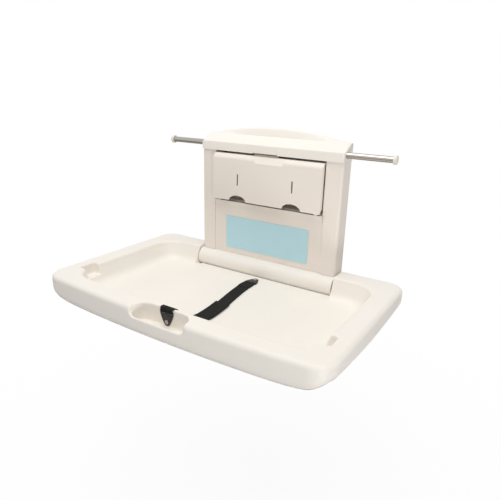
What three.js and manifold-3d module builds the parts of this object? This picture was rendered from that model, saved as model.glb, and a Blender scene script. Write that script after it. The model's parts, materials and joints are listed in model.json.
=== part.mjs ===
// Wall-mounted baby changing station with its bed folded down.
// Millimetres, +Z up. The wall is the plane y = 0, the bed's rim is the plane z = 0, the front is -Y.
import * as THREE from "three";
import { mergeVertices } from "three/addons/utils/BufferGeometryUtils.js";
import Module from "manifold-3d";

const wasm = await Module();
wasm.setup();

// Clearances
const SEAT_GAP = 0.4; // between faces that rest on each other
const RUNNING_GAP = 0.3; // round a pin in its hole

// Hinge line of the bed
const HINGE_Y = -48;
const HINGE_Z = -26;
const PIN_R = 6;
const PIN_HEAD_R = 10;
const PIN_HEAD = 4;
const BUSH_WALL = 3;
const BUSH_FLANGE_R = 13;
const BUSH_FLANGE = 2;
const BRACKET_PLATE = 5;
const LEVER_WIDTH = 10;
const LEVER_LENGTH = 24;
const LEVER_ARM = 8;
const LEVER_HUB_R = 11;
const DAMPER_LENGTH = 36;
const DAMPER_WALL = 3;
const HARDWARE_GAP = 4; // between neighbours along the hinge line

// Bed shell: outer form
const BED_WIDTH = 884;
const BED_REAR_GAP = 4;
const BED_REACH = 540; // wall to front face, beside the corners
const FRONT_BOW = 15;
const FRONT_CORNER_R = 54;
const REAR_CORNER_R = 46;
const RIM_EDGE_R = 14;
const BELLY_EDGE_R = 26;
const SHELL_WALL = 4;
const FRONT_DEPTH = 76;
const SIDE_DEPTH = 67;
const CORNER_DEPTH = 46;
const FRONT_EDGE_POWER = 12; // the front's lower edge runs straight and rises only at its corners
const REAR_DEPTH = 56;
const DEEPEST_REACH = 270; // wall to the deepest place of the side walls
const BELLY_INSET = 110; // outer wall to the flat of the underside
const PAN_WALL = 3.5;

// Bed shell: basin, hinge notch, hand recess and rod pockets
const SIDE_RIM = 62; // bed's side to the basin
const BASIN_WIDTH = BED_WIDTH - 2 * SIDE_RIM;
const BASIN_REAR_REACH = 74;
const FRONT_RIM = 52; // bed's front to the basin
const BASIN_FRONT_REACH = BED_REACH - FRONT_RIM;
const BASIN_BOW = 6;
const BASIN_CORNER_R = 70;
const BASIN_DEPTH = 60;
const FRAME_ROOM = 28; // basin's floor to the flat of the underside
const BELLY_DEPTH = BASIN_DEPTH + FRAME_ROOM;
const BASIN_EDGE_R = 10;
const BASIN_DRAFT = THREE.MathUtils.degToRad(20);
const BASIN_FLOOR_R = 30;
const CHEEK_GAP = 3; // hinge cover's end to the bed's cheek
const NOTCH_GAP = 5; // hinge cover's front to the edge of the basin floor
const RECESS_WIDTH = 172;
const RECESS_LENGTH = 30; // bed's front to the recess's wall
const RECESS_WALL_REACH = BED_REACH - RECESS_LENGTH;
const RECESS_DEPTH = 48;
const RECESS_LIP_DROP = 27; // rim to the lip in front of the recess
const RECESS_LIP_WALL = 7;
const RECESS_CORNER_R = 34;
const POCKET_LENGTH = 50;
const POCKET_END_GAP = 18;
const POCKET_FLOOR_GAP = 2.5;

// Steel frame inside the bed
const ARM_PLATE = 4;
const ARM_REACH = 250;
const ARM_DEPTH = 13;
const TUBE_SIDE = 12;
const SCREW_R = 2;
const SCREW_HEAD_R = 5;
const SCREW_HEAD = 1.8;
const BOSS_R = 7;
const BOSS_END = 3; // closed end of an anchor's boss
const SCREW_BITE = 12;
const SCREW_INSET = 80; // basin's edge to the underside screws
const BED_SCREW_REAR = BASIN_REAR_REACH + 1.2 * SCREW_INSET;
const BED_SCREW_FRONT = BASIN_FRONT_REACH - SCREW_INSET;
const BED_SCREW_MIDDLE_X = 110;

// Wall unit: chassis, panel, hinge cover and top cap
const CAP_WIDTH = 490;
const CAP_OVERHANG = 1;
const PANEL_WIDTH = CAP_WIDTH - 2 * CAP_OVERHANG;
const PANEL_DEPTH = 55;
const PANEL_EDGE_R = 9;
const PANEL_WALL = 3.5;
const COLUMN_WIDTH = 49;
const FIELD_WIDTH = PANEL_WIDTH - 2 * COLUMN_WIDTH;
const FIELD_DEPTH = 4;
const WINDOW_INSET = 3; // field's side to the window's
const WINDOW_WIDTH = FIELD_WIDTH - 2 * WINDOW_INSET;
const WINDOW_HEIGHT = 157.6;
const CHIN_BOTTOM = 146;
const CHIN_HEIGHT = 25;
const CHIN_TOP = CHIN_BOTTOM + CHIN_HEIGHT;
const CHIN_REACH = 12;
const PANEL_TOP = CHIN_TOP + WINDOW_HEIGHT;
const CHASSIS_INSET = 12; // panel's side to the chassis
const CHASSIS_WIDTH = PANEL_WIDTH - 2 * CHASSIS_INSET;
const CHASSIS_PLATE = 3;
const CHASSIS_FLANGE = 22;
const CHASSIS_RISE = 41.4; // panel's top to the chassis's
const CHASSIS_TOP = PANEL_TOP + CHASSIS_RISE;
const WALL_HOLE_R = 4.5;
const WALL_HOLE_INSET = 29; // chassis's side to its wall holes
const WALL_HOLE_SPACING = CHASSIS_WIDTH - 2 * WALL_HOLE_INSET;
const WALL_HOLE_LOW = 40;
const WALL_HOLE_HIGH = PANEL_TOP - 32.6;
const BARREL_R = 31;
const BARREL_DROP = 12; // hinge line above the barrel's middle
const BARREL_FORWARD = 2; // barrel's middle in front of the hinge line
const BARREL_WALL = 3;
const DAMPER_GAP = 2; // damper to the inside of the barrel
const DAMPER_R = BARREL_R - BARREL_WALL - BARREL_DROP - DAMPER_GAP;
const ROTOR_R = DAMPER_R - 4;
const CAP_FORWARD = 5; // cap's front before the panel's
const CAP_DEPTH = PANEL_DEPTH + CAP_FORWARD;
const CAP_WALL = 4;
const CAP_END_R = 6;
const CAP_EDGE_R = 5;
const FASCIA_HEIGHT = 28;
const SHOULDER_RISE = 23;
const CREST_RISE = 47;
const ARCH_INSET = 25; // cap's end to the foot of the arch
const ARCH_WIDTH = CAP_WIDTH - 2 * ARCH_INSET;
const CREST_DEPTH = 16; // wall to the crease in front of the arch
const BACK_GAP = 0.4; // mouldings stop this far off the wall

// Bag rod
const ROD_R = 8.75;
const ROD_SHORT = 63; // bed's side to the rod's end
const ROD_LENGTH = BED_WIDTH - 2 * ROD_SHORT;
const ROD_INSET = 20; // cap's front to the rod
const ROD_REACH = CAP_DEPTH - ROD_INSET;
const ROD_RISE = 19.4; // panel's top to the rod
const ROD_Z = PANEL_TOP + ROD_RISE;
const ROD_CAP_R = 12.5;
const ROD_CAP_LENGTH = 9;
const ROD_CAP_END = 4;
const CRADLE_WIDTH = 20;
const CRADLE_INSET = 54; // panel's side to the cradle
const CRADLE_X = PANEL_WIDTH / 2 - CRADLE_INSET;

// Liner dispenser
const DOOR_GAP = 3;
const DOOR_FORWARD = 17; // door's face before the panel's
const DOOR_REACH = PANEL_DEPTH + DOOR_FORWARD;
const DOOR_SKIN = 3;
const DOOR_RETURN = 15;
const DOOR_RISE = 6; // chin to the door's lower edge
const DOOR_BEVEL = 10;
const DOOR_TOP_SLOPE = 7;
const DOOR_LIP = 12;
const DOOR_UPSTAND = 4;
const DOOR_TOP_GAP = 2.6;
const DOOR_TOP = DOOR_BEVEL + DOOR_TOP_SLOPE + DOOR_UPSTAND + DOOR_TOP_GAP;
const DOOR_FACE = WINDOW_HEIGHT - DOOR_RISE - DOOR_TOP;
const CUTOUT_X = WINDOW_WIDTH / 4;
const CUTOUT_WIDTH = 64;
const CUTOUT_HEIGHT = 18;
const SLOT_WIDTH = 5;
const SLOT_HEIGHT = 35;
const SLOT_RISE = 50; // door's lower edge to the slot
const SCOOP_X = 14;
const SCOOP_WIDTH = 96;
const SCOOP_DEPTH = 5;
const PIVOT_R = 2;
const PIVOT_LUG_R = 3.6;
const PIVOT_LUG_INSET = 24; // window's side to the lug
const PIVOT_LUG_X = WINDOW_WIDTH / 2 - PIVOT_LUG_INSET;
const PIVOT_LUG_WIDTH = 8;
const PIVOT_RIB = 4;
const BOX_WALL = 2.5;
const BOX_DEPTH = PANEL_DEPTH - 15;
const BOX_HEIGHT = WINDOW_HEIGHT - 15.6;
const BOX_SCREW_INSET = 24;
const BOX_SCREW_X = WINDOW_WIDTH / 2 - 2 * BOX_SCREW_INSET - 4;
const CATCH_WIDTH = 84;
const CATCH_X = -8;
const CATCH_PLATE = 3;
const CATCH_NOSE = 5;
const PLATE_MARGIN = 45; // field's side to the plate
const PLATE_WIDTH = FIELD_WIDTH - 2 * PLATE_MARGIN;
const PLATE_BOTTOM = 12;
const PLATE_TOP_GAP = 26; // plate to the chin
const PLATE_HEIGHT = CHIN_BOTTOM - PLATE_TOP_GAP - PLATE_BOTTOM;
const PLATE_CORNER_R = 5;
const PLATE_THICKNESS = 0.8;

// Safety strap
const STRAP_THICKNESS = 1.8;
const REAR_STRAP_WIDTH = 40;
const FRONT_STRAP_WIDTH = 48;
const REAR_STRAP_SHORT = 58; // rear strap's end to the basin's front
const REAR_STRAP_REACH = BASIN_FRONT_REACH - REAR_STRAP_SHORT;
const STRAP_LAP = 125; // front strap's end before the rear strap's
const FRONT_STRAP_REACH = REAR_STRAP_REACH - STRAP_LAP;
const STRAP_DRIFT = 28; // sideways, at the place given next
const STRAP_DRIFT_REACH = REAR_STRAP_REACH - 35;
const ANCHOR_WIDTH = 46;
const ANCHOR_FOOT_GAP = 1.5; // recess's floor to the front anchor
const ANCHOR_TOP_GAP = 4.5; // front anchor to the rim
const ANCHOR_LENGTH = RECESS_DEPTH - ANCHOR_FOOT_GAP - ANCHOR_TOP_GAP;
const ANCHOR_TIP_R = 11;
const ANCHOR_CORNER_R = 3;
const ANCHOR_PLATE = 2;
const ANCHOR_SLOT = 4;
const ANCHOR_BAR = 4;
const REAR_ANCHOR_REACH = 104; // wall to its screw
const FRONT_ANCHOR_DROP = RECESS_DEPTH - ANCHOR_FOOT_GAP - ANCHOR_TIP_R; // rim to its screw
const ANCHOR_SCREW_R = 3;
const ANCHOR_HEAD_R = 5.5;
const ANCHOR_HEAD = 2.2;

// Materials
const finish = (color, roughness, metalness = 0) =>
  new THREE.MeshStandardMaterial({ color, roughness, metalness });
const POLYETHYLENE = finish("#f3eee4", 0.5);
const PANEL_POLYETHYLENE = finish("#ece4da", 0.5);
const STAINLESS = finish("#c9c6c1", 0.28, 1);
const ZINC_STEEL = finish("#a9adb0", 0.45, 1);
const NYLON = finish("#ebe8e2", 0.55);
const RUBBER = finish("#2b2b2b", 0.85);
const BLACK_NYLON = finish("#161617", 0.5);
const WEBBING = finish("#17171a", 0.9);
const PLATE_FILM = finish("#b5dbe2", 0.4);

// Geometry tools
function solid(geometry) {
  const bare = geometry.clone();
  bare.deleteAttribute("normal");
  bare.deleteAttribute("uv");
  const merged = mergeVertices(bare);
  return new wasm.Manifold(
    new wasm.Mesh({
      numProp: 3,
      vertProperties: merged.attributes.position.array,
      triVerts: new Uint32Array(merged.index.array),
    }),
  );
}

function geometryOf(body) {
  const mesh = body.getMesh();
  const geometry = new THREE.BufferGeometry();
  geometry.setAttribute("position", new THREE.BufferAttribute(mesh.vertProperties, 3));
  geometry.setIndex(new THREE.BufferAttribute(mesh.triVerts, 1));
  return geometry;
}

const join = (...pieces) => geometryOf(pieces.map(solid).reduce((a, b) => a.add(b)));
const meet = (a, b) => geometryOf(solid(a).intersect(solid(b)));
const cut = (body, ...tools) =>
  geometryOf(tools.map(solid).reduce((a, b) => a.subtract(b), solid(body)));

function box([x0, x1], [y0, y1], [z0, z1]) {
  const geometry = new THREE.BoxGeometry(x1 - x0, y1 - y0, z1 - z0);
  return geometry.translate((x0 + x1) / 2, (y0 + y1) / 2, (z0 + z1) / 2);
}

const AXES = {
  x: new THREE.Matrix4().makeRotationZ(-Math.PI / 2),
  y: new THREE.Matrix4(),
  z: new THREE.Matrix4().makeRotationX(Math.PI / 2),
};

// A round bar along an axis, from one place on it to another, through the point given.
function bar(axis, radius, from, to, [x, y, z] = [0, 0, 0], sides = 24) {
  const geometry = new THREE.CylinderGeometry(radius, radius, to - from, sides);
  geometry.applyMatrix4(AXES[axis]);
  const middle = new THREE.Vector3();
  middle[axis] = (from + to) / 2;
  return geometry.translate(x + middle.x, y + middle.y, z + middle.z);
}

const shapeOf = (points) => new THREE.Shape(points.map(([u, v]) => new THREE.Vector2(u, v)));

function extrude(shape, depth, curveSegments = 8) {
  return new THREE.ExtrudeGeometry(shape, { depth, bevelEnabled: false, curveSegments });
}

const X = new THREE.Vector3(1, 0, 0);
const Y = new THREE.Vector3(0, 1, 0);
const Z = new THREE.Vector3(0, 0, 1);
const LIE_ACROSS = new THREE.Matrix4().makeBasis(Y, Z, X);
const STAND_UP = new THREE.Matrix4().makeBasis(X, Z, Y.clone().negate());

// A prism along X of an outline of (y, z) points, along Y of (x, z), and along Z of (x, y).
const prismX = (shape, x0, x1) =>
  extrude(shape, x1 - x0).applyMatrix4(LIE_ACROSS).translate(x0, 0, 0);
const prismY = (shape, y0, y1) =>
  extrude(shape, y1 - y0).applyMatrix4(STAND_UP).translate(0, y1, 0);
const prismZ = (shape, z0, z1) => extrude(shape, z1 - z0).translate(0, 0, z0);

function roundedRectangle(x0, x1, y0, y1, r) {
  const shape = new THREE.Shape();
  shape.absarc(x1 - r, y1 - r, r, 0, Math.PI / 2);
  shape.absarc(x0 + r, y1 - r, r, Math.PI / 2, Math.PI);
  shape.absarc(x0 + r, y0 + r, r, Math.PI, 1.5 * Math.PI);
  shape.absarc(x1 - r, y0 + r, r, 1.5 * Math.PI, 2 * Math.PI);
  return shape;
}

// A closed body through rings that all have the same number of points.
function loft(rings) {
  const count = rings[0].length;
  const points = rings.flat();
  const triangles = [];
  for (let k = 0; k + 1 < rings.length; k++)
    for (let i = 0; i < count; i++) {
      const j = (i + 1) % count;
      const [a, b, c, d] = [k * count + i, (k + 1) * count + i, k * count + j, (k + 1) * count + j];
      triangles.push(a, b, c, c, b, d);
    }
  for (const [ring, start, turn] of [
    [rings[0], 0, false],
    [rings.at(-1), (rings.length - 1) * count, true],
  ]) {
    const middle = [0, 1, 2].map((n) => ring.reduce((sum, p) => sum + p[n], 0) / count);
    points.push(middle);
    for (let i = 0; i < count; i++) {
      const [a, b] = [start + i, start + ((i + 1) % count)];
      triangles.push(points.length - 1, turn ? b : a, turn ? a : b);
    }
  }
  const geometry = new THREE.BufferGeometry();
  geometry.setAttribute("position", new THREE.Float32BufferAttribute(points.flat(), 3));
  geometry.setIndex(volumeOf(points, triangles) < 0 ? triangles.reverse() : triangles);
  return geometry;
}

function volumeOf(points, triangles) {
  let volume = 0;
  for (let i = 0; i < triangles.length; i += 3) {
    const [a, b, c] = [0, 1, 2].map((n) => new THREE.Vector3(...points[triangles[i + n]]));
    volume += a.dot(b.cross(c)) / 6;
  }
  return volume;
}

// The bed's plan: a rounded rectangle with a front that swells forward. Every ring has like points.
const FRONT_STEPS = 12;
const SIDE_STEPS = 7;
const CORNER_STEPS = 6;

function plan({ width, rear, front, bow, frontR, rearR }, inset) {
  const half = width / 2 - inset;
  const [yr, yf] = [-rear - inset, -front + inset];
  const [rf, rr] = [Math.max(frontR - inset, 6), Math.max(rearR - inset, 6)];
  const points = [];
  const line = (steps, at) => {
    for (let i = 0; i < steps; i++) points.push(at(i / steps));
  };
  const arc = (x, y, r, from) =>
    line(CORNER_STEPS, (t) => {
      const a = from + (t * Math.PI) / 2;
      return [x + r * Math.cos(a), y + r * Math.sin(a)];
    });
  line(FRONT_STEPS, (t) => [(2 * t - 1) * (half - rf), yf - bow * (1 - (2 * t - 1) ** 2)]);
  arc(half - rf, yf + rf, rf, -Math.PI / 2);
  line(SIDE_STEPS, (t) => [half, yf + rf + t * (yr - rr - yf - rf)]);
  arc(half - rr, yr - rr, rr, 0);
  line(FRONT_STEPS, (t) => [(1 - 2 * t) * (half - rr), yr]);
  arc(rr - half, yr - rr, rr, Math.PI / 2);
  line(SIDE_STEPS, (t) => [-half, yr - rr + t * (yf + rf - yr + rr)]);
  arc(rf - half, yf + rf, rf, Math.PI);
  return points;
}

const BED_PLAN = {
  width: BED_WIDTH,
  rear: BED_REAR_GAP,
  front: BED_REACH,
  bow: FRONT_BOW,
  frontR: FRONT_CORNER_R,
  rearR: REAR_CORNER_R,
};
const BASIN_PLAN = {
  width: BASIN_WIDTH,
  rear: BASIN_REAR_REACH,
  front: BASIN_FRONT_REACH,
  bow: BASIN_BOW,
  frontR: BASIN_CORNER_R,
  rearR: BASIN_CORNER_R,
};

// How deep the outer wall is below the rim: deepest along the front, shallow at its corners and the rear.
function wallDepth([x, y]) {
  const reach = -y;
  if (reach < DEEPEST_REACH) {
    const share = (DEEPEST_REACH - reach) / (DEEPEST_REACH - BED_REAR_GAP);
    return SIDE_DEPTH - (SIDE_DEPTH - REAR_DEPTH) * share ** 2;
  }
  const along = Math.min(1, (reach - DEEPEST_REACH) / (BED_REACH - DEEPEST_REACH));
  const across = Math.min(1, Math.abs(x) / (BED_WIDTH / 2));
  const side = SIDE_DEPTH - (SIDE_DEPTH - CORNER_DEPTH) * along ** 1.5;
  const front = FRONT_DEPTH - (FRONT_DEPTH - CORNER_DEPTH) * across ** FRONT_EDGE_POWER;
  return Math.max(side, front);
}

const DEPTHS = plan(BED_PLAN, 0).map(wallDepth);

// A row of rings round a plan. Each stop gives an inset, a height for a wall depth, and the
// direction that its surface faces, along which thick moves it into the material.
function rings(outline, stops, thick = 0) {
  return stops.map(({ inset, height, faces: [out, up] }) =>
    plan(outline, inset + thick * out).map(([x, y], i) => [x, y, height(DEPTHS[i]) - thick * up]),
  );
}

const RIM_ANGLES = [0, 30, 60, 90].map(THREE.MathUtils.degToRad);
const SEAM_ANGLE = Math.PI / 4;

const rimStops = RIM_ANGLES.map((a) => ({
  inset: RIM_EDGE_R * (1 - Math.sin(a)),
  height: () => -RIM_EDGE_R * (1 - Math.cos(a)),
  faces: [Math.sin(a), Math.cos(a)],
}));
const bellyStop = (a, drop = 0) => ({
  inset: BELLY_EDGE_R * (1 - Math.cos(a)),
  height: (depth) => -(depth - BELLY_EDGE_R) - BELLY_EDGE_R * Math.sin(a) - drop,
  faces: [Math.cos(a), -Math.sin(a)],
});
const wallStops = [bellyStop(0), bellyStop(SEAM_ANGLE / 2), bellyStop(SEAM_ANGLE)];
const BED_BOTTOM = BELLY_DEPTH + 50;

// The outer form, which steps in at the seam and goes on below it inside the wall.
function hull(thick) {
  const seam = bellyStop(SEAM_ANGLE);
  const below = { inset: seam.inset, height: () => -BED_BOTTOM, faces: [1, 0] };
  const step = { ...seam, inset: seam.inset + 1.2 * SHELL_WALL };
  const ends = thick ? [below] : [step, { ...below, inset: step.inset }];
  return loft(rings(BED_PLAN, [...rimStops, ...wallStops, ...ends], thick));
}

// The basin: a rounded rim edge, a drafted wall and a wide fillet to the floor.
const BASIN_WALL_END = -BASIN_DEPTH + BASIN_FLOOR_R * (1 - Math.sin(BASIN_DRAFT));
const BASIN_WALL_INSET = (-BASIN_EDGE_R - BASIN_WALL_END) * Math.tan(BASIN_DRAFT);
const BASIN_FLOOR_INSET = BASIN_WALL_INSET + BASIN_FLOOR_R * Math.cos(BASIN_DRAFT);
const basinStops = [
  { inset: -BASIN_EDGE_R, height: () => BASIN_EDGE_R, faces: [0, -1] },
  ...RIM_ANGLES.map((a) => ({
    inset: BASIN_EDGE_R * (Math.sin(a) - 1),
    height: () => BASIN_EDGE_R * (Math.cos(a) - 1),
    faces: [-Math.sin(a), Math.cos(a)],
  })),
  ...[0, 0.33, 0.67, 1].map((t) => {
    const a = THREE.MathUtils.lerp(BASIN_DRAFT, Math.PI / 2, t);
    return {
      inset: BASIN_FLOOR_INSET - BASIN_FLOOR_R * Math.cos(a),
      height: () => -BASIN_DEPTH + BASIN_FLOOR_R * (1 - Math.sin(a)),
      faces: [-Math.cos(a), Math.sin(a)],
    };
  }),
];
const basin = (thick) => loft(rings(BASIN_PLAN, basinStops, thick));

// Where the hinge cover stands, and the notch in the bed that clears it.
const BARREL_Y = HINGE_Y - BARREL_FORWARD;
const BARREL_Z = HINGE_Z - BARREL_DROP;
const BARREL_END = PANEL_WIDTH / 2 + 1;
const CHEEK_X = BARREL_END + CHEEK_GAP;
const BARREL_SWING = Math.hypot(BARREL_FORWARD, BARREL_DROP) + BARREL_R;
const FLOOR_DROP = HINGE_Z + BASIN_DEPTH;
const NOTCH_Y = Math.min(
  BARREL_Y - Math.sqrt(Math.max(0, (BARREL_R + NOTCH_GAP) ** 2 - (BASIN_DEPTH + BARREL_Z) ** 2)),
  HINGE_Y - Math.sqrt(Math.max(0, (BARREL_SWING + NOTCH_GAP / 2) ** 2 - FLOOR_DROP ** 2)),
);
const FLAT_FLOOR_Y = -BASIN_REAR_REACH - BASIN_FLOOR_INSET;

const notch = (thick) =>
  box([-CHEEK_X - thick, CHEEK_X + thick], [NOTCH_Y - thick, BASIN_EDGE_R], [-BED_BOTTOM, BASIN_EDGE_R]);
const notchFloor = (thick) =>
  box([-CHEEK_X - thick, CHEEK_X + thick], [FLAT_FLOOR_Y, NOTCH_Y + 1], [-BASIN_DEPTH - thick, BASIN_EDGE_R]);

// The hand recess in the front edge, and the pockets that take the bag rod when the bed is folded up.
const FRONT_FACE = BED_REACH + FRONT_BOW;
// Open to the front above its lip, and a trough for the fingers behind it
const handRecess = (thick) => {
  const outline = roundedRectangle(
    -RECESS_WIDTH / 2 - thick,
    RECESS_WIDTH / 2 + thick,
    -FRONT_FACE - 2 * RECESS_CORNER_R,
    -RECESS_WALL_REACH + thick,
    RECESS_CORNER_R + thick,
  );
  const mouth = prismZ(outline, -RECESS_LIP_DROP - thick, BASIN_EDGE_R);
  const trough = meet(
    prismZ(outline, -RECESS_DEPTH - thick, BASIN_EDGE_R),
    box(
      [-RECESS_WIDTH, RECESS_WIDTH],
      [-FRONT_FACE + RECESS_LIP_WALL - thick, 0],
      [-2 * RECESS_DEPTH, 2 * BASIN_EDGE_R],
    ),
  );
  return join(mouth, trough);
};

const POCKET_Y = HINGE_Y + HINGE_Z - ROD_Z;
const POCKET_DEPTH = ROD_REACH + HINGE_Y - HINGE_Z + ROD_CAP_R + POCKET_FLOOR_GAP;
const POCKET_X = ROD_LENGTH / 2 + ROD_CAP_END + POCKET_END_GAP;
const pocket = (side, thick) => {
  const [inner, outer] = [BASIN_WIDTH / 2 - BASIN_FLOOR_INSET, POCKET_X + thick];
  const half = POCKET_LENGTH / 2 + thick;
  return box(
    side > 0 ? [inner, outer] : [-outer, -inner],
    [POCKET_Y - half, POCKET_Y + half],
    [-POCKET_DEPTH - thick, BASIN_EDGE_R],
  );
};

const bedHollows = (thick) => [
  basin(thick),
  notch(thick),
  notchFloor(thick),
  handRecess(thick),
  pocket(1, thick),
  pocket(-1, thick),
];

const ARM_X = CHEEK_X + SHELL_WALL + SEAT_GAP;
const BED_SCREW_X = (ARM_X + ARM_PLATE + BASIN_WIDTH / 2 - BASIN_FLOOR_INSET) / 2;
const BED_SCREWS = [1, -1].flatMap((side) => [
  [side * BED_SCREW_X, -BED_SCREW_REAR],
  [side * BED_SCREW_X, -BED_SCREW_FRONT],
  [side * BED_SCREW_MIDDLE_X, -BED_SCREW_FRONT],
]);
const PAN_INSIDE = -BELLY_DEPTH + PAN_WALL;
const FLOOR_UNDERSIDE = -BASIN_DEPTH - SHELL_WALL;
const ANCHOR_BORE_R = SCREW_R + RUNNING_GAP;

function bedShell() {
  const walls = meet(join(...bedHollows(SHELL_WALL)), roomAbovePan());
  const cavity = cut(hull(SHELL_WALL), walls);
  const bosses = BED_SCREWS.map(([x, y]) =>
    bar("z", BOSS_R, PAN_INSIDE + SEAT_GAP, FLOOR_UNDERSIDE + 1, [x, y, 0], 16),
  );
  const bores = BED_SCREWS.map(([x, y]) =>
    bar("z", SCREW_R + RUNNING_GAP, -BED_BOTTOM, PAN_INSIDE + SCREW_BITE, [x, y, 0], 12),
  );
  const pinHole = bar("x", PIN_R + RUNNING_GAP, -CHEEK_X - 20, CHEEK_X + 20, [0, HINGE_Y, HINGE_Z]);
  const [recessWall, floor] = [-RECESS_WALL_REACH, -BASIN_DEPTH];
  const [frontBore, rearBore] = [recessWall + SCREW_BITE, floor - SCREW_BITE];
  const [frontScrew, rearScrew] = [[0, 0, -FRONT_ANCHOR_DROP], [0, -REAR_ANCHOR_REACH, 0]];
  const anchorBosses = [
    bar("y", BOSS_R, recessWall + SHELL_WALL - 1, frontBore + BOSS_END, frontScrew, 16),
    bar("z", BOSS_R, rearBore - BOSS_END, FLOOR_UNDERSIDE + 1, rearScrew, 16),
  ];
  const anchorBores = [
    bar("y", ANCHOR_BORE_R, recessWall - 1, frontBore, frontScrew, 12),
    bar("z", ANCHOR_BORE_R, rearBore, floor + 1, rearScrew, 12),
  ];
  const shell = cut(hull(0), ...bedHollows(0), cavity);
  return cut(join(shell, ...bosses, ...anchorBosses), ...bores, pinHole, ...anchorBores);
}

// The pan that closes the bed from below, from the seam to a flat belly.
const flatStop = (inset, share) => ({
  inset,
  height: (depth) => -THREE.MathUtils.lerp(depth, BELLY_DEPTH, share),
  faces: [0, -1],
});
const panEdge = bellyStop(SEAM_ANGLE, SEAT_GAP);
const panStops = [
  panEdge,
  bellyStop((3 * Math.PI) / 8),
  bellyStop(Math.PI / 2),
  flatStop((BELLY_EDGE_R + BELLY_INSET) / 2, 0.6),
  flatStop(BELLY_INSET, 1),
];

// All that is above the pan's inner face, out to the outer wall above the seam
function roomAbovePan() {
  const ledge = { ...panEdge, inset: -1, faces: [0, panEdge.faces[1]] };
  const top = { ...ledge, height: () => BASIN_EDGE_R };
  return loft(rings(BED_PLAN, [top, ledge, ...panStops], PAN_WALL + SEAT_GAP));
}

function bedUnderside() {
  const above = { ...panEdge, height: () => BASIN_EDGE_R, faces: [panEdge.faces[0], 0] };
  const room = loft(rings(BED_PLAN, [above, ...panStops], PAN_WALL));
  const holes = BED_SCREWS.map(([x, y]) =>
    bar("z", SCREW_R + RUNNING_GAP, -BED_BOTTOM, 0, [x, y, 0], 12),
  );
  const brim = { ...panEdge, inset: panEdge.inset + 1.2 * PAN_WALL };
  return cut(loft(rings(BED_PLAN, [brim, ...panStops])), room, notch(0), ...holes);
}

// Hinge hardware of the right side, from the bed's cheek inwards along the hinge line.
const BUSH_R = PIN_R + RUNNING_GAP + BUSH_WALL;
const PIN_OUTER = ARM_X + ARM_PLATE + SEAT_GAP;
const BRACKET_X = BARREL_END - BARREL_WALL - SEAT_GAP;
const LEVER_X = BRACKET_X - BRACKET_PLATE - HARDWARE_GAP;
const DAMPER_X = LEVER_X - LEVER_WIDTH - HARDWARE_GAP;
const PIN_INNER = DAMPER_X - DAMPER_LENGTH + 2 * DAMPER_WALL;
const HINGE = [0, HINGE_Y, HINGE_Z];
const CHASSIS_FRONT = -CHASSIS_PLATE - SEAT_GAP;
const PIN_BORE = PIN_R + RUNNING_GAP;

const hingePin = () =>
  join(
    bar("x", PIN_R, PIN_INNER, PIN_OUTER + 1),
    bar("x", PIN_HEAD_R, PIN_OUTER, PIN_OUTER + PIN_HEAD),
  );

const hingeBush = () =>
  cut(
    join(
      bar("x", BUSH_R, BRACKET_X - BRACKET_PLATE, BARREL_END + 1),
      bar("x", BUSH_FLANGE_R, BARREL_END + SEAT_GAP, BARREL_END + SEAT_GAP + BUSH_FLANGE),
    ),
    bar("x", PIN_BORE, 0, CHEEK_X),
  );

// A plate that stands forward of the chassis and carries the bush.
function hingeBracket() {
  const [front, top] = [BUSH_R + RUNNING_GAP + 4.4, BUSH_R + RUNNING_GAP + 3.4];
  const foot = BARREL_DROP + BUSH_R + 8;
  const back = CHASSIS_FRONT - HINGE_Y;
  const outline = shapeOf([
    [back, top],
    [back, -foot],
    [-front / 2, -foot],
    [-front, -front],
    [-front, top / 2],
    [-front / 2, top],
  ]);
  const room = prismX(barrelSection(BARREL_WALL + DAMPER_GAP), 0, BRACKET_X + 1);
  const plate = prismX(outline, BRACKET_X - BRACKET_PLATE, BRACKET_X);
  return cut(
    meet(plate, room.translate(0, -HINGE_Y, -HINGE_Z)),
    bar("x", BUSH_R + RUNNING_GAP, 0, CHEEK_X),
  );
}

const stopLever = () =>
  cut(
    join(
      bar("x", LEVER_HUB_R, LEVER_X - LEVER_WIDTH, LEVER_X),
      box([LEVER_X - LEVER_WIDTH, LEVER_X], [-LEVER_ARM / 2, LEVER_ARM / 2], [-LEVER_LENGTH, 0]),
    ),
    bar("x", PIN_BORE, 0, CHEEK_X),
  );

const stopPad = () =>
  box(
    [LEVER_X - LEVER_WIDTH, LEVER_X],
    [LEVER_ARM / 2 + SEAT_GAP, CHASSIS_FRONT - HINGE_Y],
    [-LEVER_LENGTH - 2, -LEVER_HUB_R - 2],
  );

const damper = () =>
  cut(
    join(
      bar("x", DAMPER_R, DAMPER_X - DAMPER_LENGTH, DAMPER_X),
      box(
        [DAMPER_X - DAMPER_LENGTH, DAMPER_X],
        [0, CHASSIS_FRONT - HINGE_Y],
        [-DAMPER_R / 2, DAMPER_R / 2],
      ),
    ),
    bar("x", ROTOR_R + RUNNING_GAP, DAMPER_X - DAMPER_LENGTH + DAMPER_WALL, DAMPER_X + 1),
  );

const damperRotor = () =>
  cut(
    bar("x", ROTOR_R, DAMPER_X - DAMPER_LENGTH + DAMPER_WALL + SEAT_GAP, DAMPER_X + 2),
    bar("x", PIN_BORE, PIN_INNER - SEAT_GAP, CHEEK_X),
  );

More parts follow.
